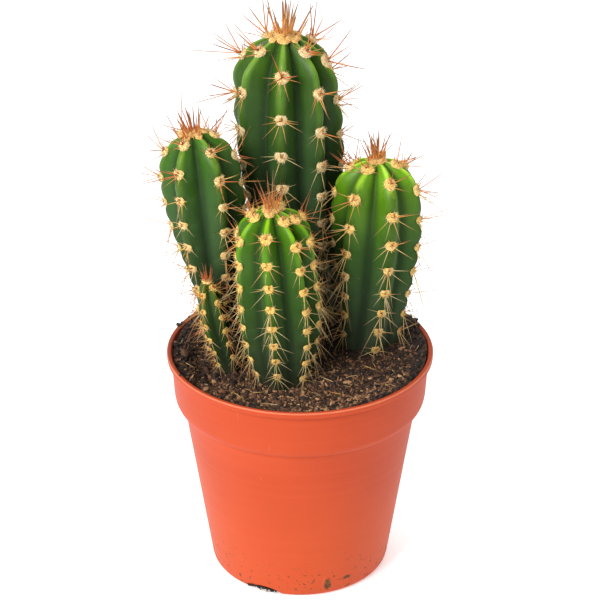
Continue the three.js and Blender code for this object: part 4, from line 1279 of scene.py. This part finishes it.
horn, tree = new_material("spine_horn")
along = tree.value("along")
tone = tree.value("tone")
mottle = tree.noise(tree.place(), 3, 2)
hue = tone + 0.25 * (mottle - 0.5)
shaft = tree.ramp(hue, {
    0.0: (206, 184, 136), 0.25: (212, 178, 110), 0.5: (208, 154, 82), 0.75: (204, 128, 64),
    1.0: (192, 96, 44),
})
point = tree.ramp(hue, {0.0: (140, 116, 82), 0.5: (120, 90, 60), 1.0: (116, 70, 40)})
colour = tree.mix(along.step(0.25, 0.85) * 0.85, shaft, point)
# The foot of each spine is dark, and a stub is dark all over
dark = (1 - along.step(0.02, 0.14)) * 0.8
dark = dark.math("MAXIMUM", dark, (tone - 1.1) * 4)
colour = tree.mix(dark, colour, tint(96, 48, 20))
tree.surface({
    "Base Color": colour,
    "Roughness": 0.42 + 0.1 * mottle,
    "Specular IOR Level": 0.3,
})

needles, tree, sizes = new_growth("needles", {"Sides": "Int"})
lines = tree.node("GeometryNodeMeshToCurve", {}, {"Mesh": sizes.also("Geometry")})
circle = {"Resolution": sizes.also("Sides"), "Radius": 1}
circle = tree.node("GeometryNodeCurvePrimitiveCircle", {"mode": "RADIUS"}, circle)
swept = {"Curve": lines, "Profile Curve": circle, "Scale": carried(tree, "girth"), "Fill Caps": True}
shafts = {"Geometry": tree.node("GeometryNodeCurveToMesh", {}, swept), "Shade Smooth": True}
close_growth(tree, sizes, tree.node("GeometryNodeSetShadeSmooth", {}, shafts))

for k, stem in enumerate(stems):
    name = f"{stem.name}_spines"
    mesh = StemSpines(stem, SPINE_SEED + k).mesh(name)
    spines = grow(name, mesh, needles, {"Sides": SPINE_SIDES, "Material": horn})
    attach(spines, "root")


# Crumbs: the loose top of the soil, fine crumbs of peat with larger dark clods, mostly at the left,
# and flat chips of bark, mostly at the right. A few bits lie on the rim.
LOOSE_RADIUS = 61.1
# Each kind's number, radius, flatness, how far it is drawn out, how high it sits and how finely it
# is made
CRUMBS = {
    "soil_crumbs": {
        "count": 9000, "size": (0.32, 0.85), "flat": 0.7, "drawn": 2.3, "lift": 0.3, "ball": 1,
    },
    "soil_clods": {
        "count": 520, "size": (0.9, 1.9), "flat": 0.75, "drawn": 1.35, "lift": 0.1, "ball": 2,
    },
    "bark_chips": {
        "count": 1100, "size": (0.45, 1.25), "flat": 0.4, "drawn": 2.4, "lift": 0.6, "ball": 1,
    },
}
CRUMB_GRAIN = 0.9
CRUMB_ROUGHNESS = 0.5
CRUMB_SEED = 300
# The peat's tone and its spread, how it grows paler to the left and to the front, and how far it
# falls near the wall, which is painted shade where the soil meets the lip
PEAT_TONE = 0.31
PEAT_SPREAD = 0.25
PALER_LEFT = 0.0008
PALER_FRONT = 0.008
WALL_SHADE = 0.3
BARK_PALER = 0.2
CLODS_DARKER = 0.6
# Bits apart from the bed: on the rim, in the bank behind it and in the front notch; each has its
# place, size and tone. The dark crumbs in the notch are soil, and also painted shade for the notch's
# dark inside
STRAY_BITS = (
    (57.2, 27.4, 117.4, 1.7, 0.12), (54.6, 30.2, 117.4, 1.9, 0.15), (51.6, 33.4, 117.6, 1.6, 0.2),
    (55.4, 26.2, 117.2, 2.0, 0.15), (58.8, 22.6, 117.2, 1.1, 0.25), (48.6, 38.2, 117.2, 1.5, 0.3),
    (-60.2, 22.4, 117.3, 1.3, 0.25), (-58.6, 24.8, 117.1, 1.0, 0.4), (-55.2, 30.4, 117.2, 1.3, 0.3),
    (-51.4, 35.6, 117.3, 1.4, 0.35), (-47.6, 41.2, 117.2, 1.2, 0.3), (-57.3, -29, 117, 0.5, 0.3),
    (-24.5, -36.1, 2.4, 1.7, 0.05), (-22.4, -37.5, 2.9, 1.7, 0.1), (-20.2, -38.7, 3.1, 1.7, 0.05),
    (-18, -39.7, 3.1, 1.7, 0.12), (-15.8, -40.6, 2.9, 1.6, 0.08), (-13.5, -41.4, 2.4, 1.5, 0.1),
    (-19.6, -39.4, 1.4, 0.6, 0.9), (-16.4, -40.8, 1.2, 0.6, 0.95), (-11.8, -41.8, 2, 0.8, 0.15),
)
# One large pale chip at the front left: place, size and tone
MARKED_CHIP = (-37.5, -33.5, 2.4, 0.72)


def soil_top(x, y):
    """The height of the soil's own surface at each place."""
    points = np.stack([x, y, soil_level(x, y)], 1)
    return points[:, 2] + lumps(points, SOIL_LUMPS)


def open_soil(chance, count):
    """Random places on the soil that no stem stands on."""
    found = np.empty((0, 2))
    while len(found) < count:
        spots = chance.uniform(-LOOSE_RADIUS, LOOSE_RADIUS, (count, 2))
        keep = np.hypot(*spots.T) < LOOSE_RADIUS
        for stem in stems:
            keep &= np.linalg.norm(spots - stem.foot[:2], axis=1) > 0.97 * stem.radii[0]
        found = np.concatenate((found, spots[keep]))
    return found[:count]


crumb_peat, tree = new_material("loose_peat")
place = tree.place()
tone = tree.value("tone")
fleck = tree.noise(place, 0.8, 3, 0.6)
hue = tone + 0.45 * (fleck - 0.5)
tree.surface({
    "Base Color": tree.ramp(hue, {
        0.0: (18, 12, 9), 0.35: (52, 35, 24), 0.55: (100, 68, 45), 0.75: (144, 100, 68),
        1.0: (184, 144, 102),
    }),
    "Roughness": 0.85 - 0.3 * fleck,
    "Normal": tree.bump(fleck, 0.5),
    "Specular IOR Level": 0.4,
})

group, tree, sizes = new_growth("crumbs", {"Ball": "Int", "Roughness": "Float"})
ball = {"Radius": 1, "Subdivisions": sizes.also("Ball")}
ball = tree.node("GeometryNodeMeshIcoSphere", {}, ball, "Mesh")
turn, girth = [carried(tree, name, "FLOAT_VECTOR") for name in ("turn", "girth")]
crumbs = set_on(tree, sizes.also("Geometry"), ball, Rotation=turn, Scale=girth)
crumbs = roughened(tree, crumbs, CRUMB_GRAIN * MM, MM * sizes.also("Roughness"), 1)
close_growth(tree, sizes, crumbs)

for k, (name, crumb) in enumerate(CRUMBS.items()):
    chance = np.random.default_rng(CRUMB_SEED + k)
    spots = open_soil(chance, crumb["count"])
    x, y = spots.T
    low, high = crumb["size"]
    size = low + (high - low) * chance.random(len(x)) ** 2.2
    tone = PEAT_TONE + chance.normal(0, PEAT_SPREAD, len(x))
    tone = tone - PALER_LEFT * x + PALER_FRONT * np.clip(-y - 10, -20, 30)
    # Painted shade: the crumbs darken near the wall
    tone = np.clip(tone - WALL_SHADE * eased(np.hypot(x, y), 55, 60.5), 0, 1)
    if name == "soil_clods":
        tone *= CLODS_DARKER
        size *= np.where(x < -20, 1.2, 0.9)
    elif name == "bark_chips":
        tone = np.clip(tone + BARK_PALER, 0, 1)
        x[0], y[0], size[0], tone[0] = MARKED_CHIP
    z = soil_top(x, y) + crumb["lift"] * size
    girth = size[:, None] * np.stack([
        chance.uniform(0.85, crumb["drawn"], len(x)), chance.uniform(0.75, 1.1, len(x)),
        crumb["flat"] * chance.uniform(0.7, 1.2, len(x)),
    ], 1)
    turn = np.stack([*chance.normal(0, 0.5, (2, len(x))), chance.uniform(0, 6.28, len(x))], 1)
    points = np.stack([x, y, z], 1)
    if name == "bark_chips":
        points = np.concatenate((points, [bit[:3] for bit in STRAY_BITS]))
        girth = np.concatenate((girth, [(1.3 * bit[3], bit[3], 0.7 * bit[3]) for bit in STRAY_BITS]))
        turn = np.concatenate((turn, [(0, 0, k) for k in range(len(STRAY_BITS))]))
        tone = np.concatenate((tone, [bit[4] for bit in STRAY_BITS]))
    mesh = new_mesh(name, points, numbers={"girth": MM * girth, "turn": turn, "tone": tone})
    grain = {"Ball": crumb["ball"], "Roughness": CRUMB_ROUGHNESS, "Material": crumb_peat}
    loose = grow(name, mesh, group, grain)
    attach(loose, "root")


# Fibres: fine dry roots and shed spines, straw-coloured, that lie loose on the soil and in the lee
# of the stems.
FIBRE_COUNT = 150
SHED_COUNT = 46
FIBRE_LIFT = 0.5
SHED_LIFT = 0.9
SHED_RADIUS = 0.17
LITTER_SEED = 500

straw, tree = new_material("dry_fibre")
tone = tree.value("tone")
mottle = tree.noise(tree.place(), 2, 2)
tree.surface({
    "Base Color": tree.ramp(tone + 0.3 * (mottle - 0.5), {
        0.0: (58, 38, 25), 0.45: (112, 78, 48), 0.8: (164, 128, 84), 1.0: (208, 184, 138),
    }),
    "Roughness": 0.7 + 0.15 * mottle,
    "Specular IOR Level": 0.3,
})


def lying(spot, lift):
    """The place just over the soil at a spot on it."""
    return np.array((*spot, soil_top(*np.array([spot]).T)[0] + lift))


chance = np.random.default_rng(LITTER_SEED)
fibres, shed = Bristles(), Bristles()
for spot in open_soil(chance, FIBRE_COUNT):
    heading = chance.uniform(0, 2 * math.pi)
    length = chance.uniform(3, 11)
    curl = chance.normal(0, 0.5)
    way = np.array((math.cos(heading), math.sin(heading), chance.uniform(0, 0.16)))
    bend = curl * np.array((-way[1], way[0], 0)) - np.array((0, 0, 0.12))
    ends = spot + length * (way[:2] + bend[:2])
    if np.hypot(*ends) > LOOSE_RADIUS:
        continue
    radius, tone = chance.uniform(0.09, 0.2), chance.uniform(0.1, 0.95)
    fibres.add(lying(spot, FIBRE_LIFT), way, length, radius, tone, bend)
for spot in open_soil(chance, SHED_COUNT):
    heading = chance.uniform(0, 2 * math.pi)
    length = chance.uniform(5, 12)
    way = unit(np.array((math.cos(heading), math.sin(heading), chance.uniform(-0.02, 0.2))))
    if np.hypot(*(spot + length * way[:2])) > LOOSE_RADIUS:
        continue
    shed.add(lying(spot, SHED_LIFT), way, length, SHED_RADIUS, chance.uniform(0, 0.5))
for name, bristles, material in (("soil_fibres", fibres, straw), ("shed_spines", shed, horn)):
    litter = grow(name, bristles.mesh(name), needles, {"Sides": SPINE_SIDES, "Material": material})
    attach(litter, "root")


low_corner, high_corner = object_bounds()
sizes = {"cad": [list(c) for c in cad_box], "visual": [list(low_corner), list(high_corner)]}
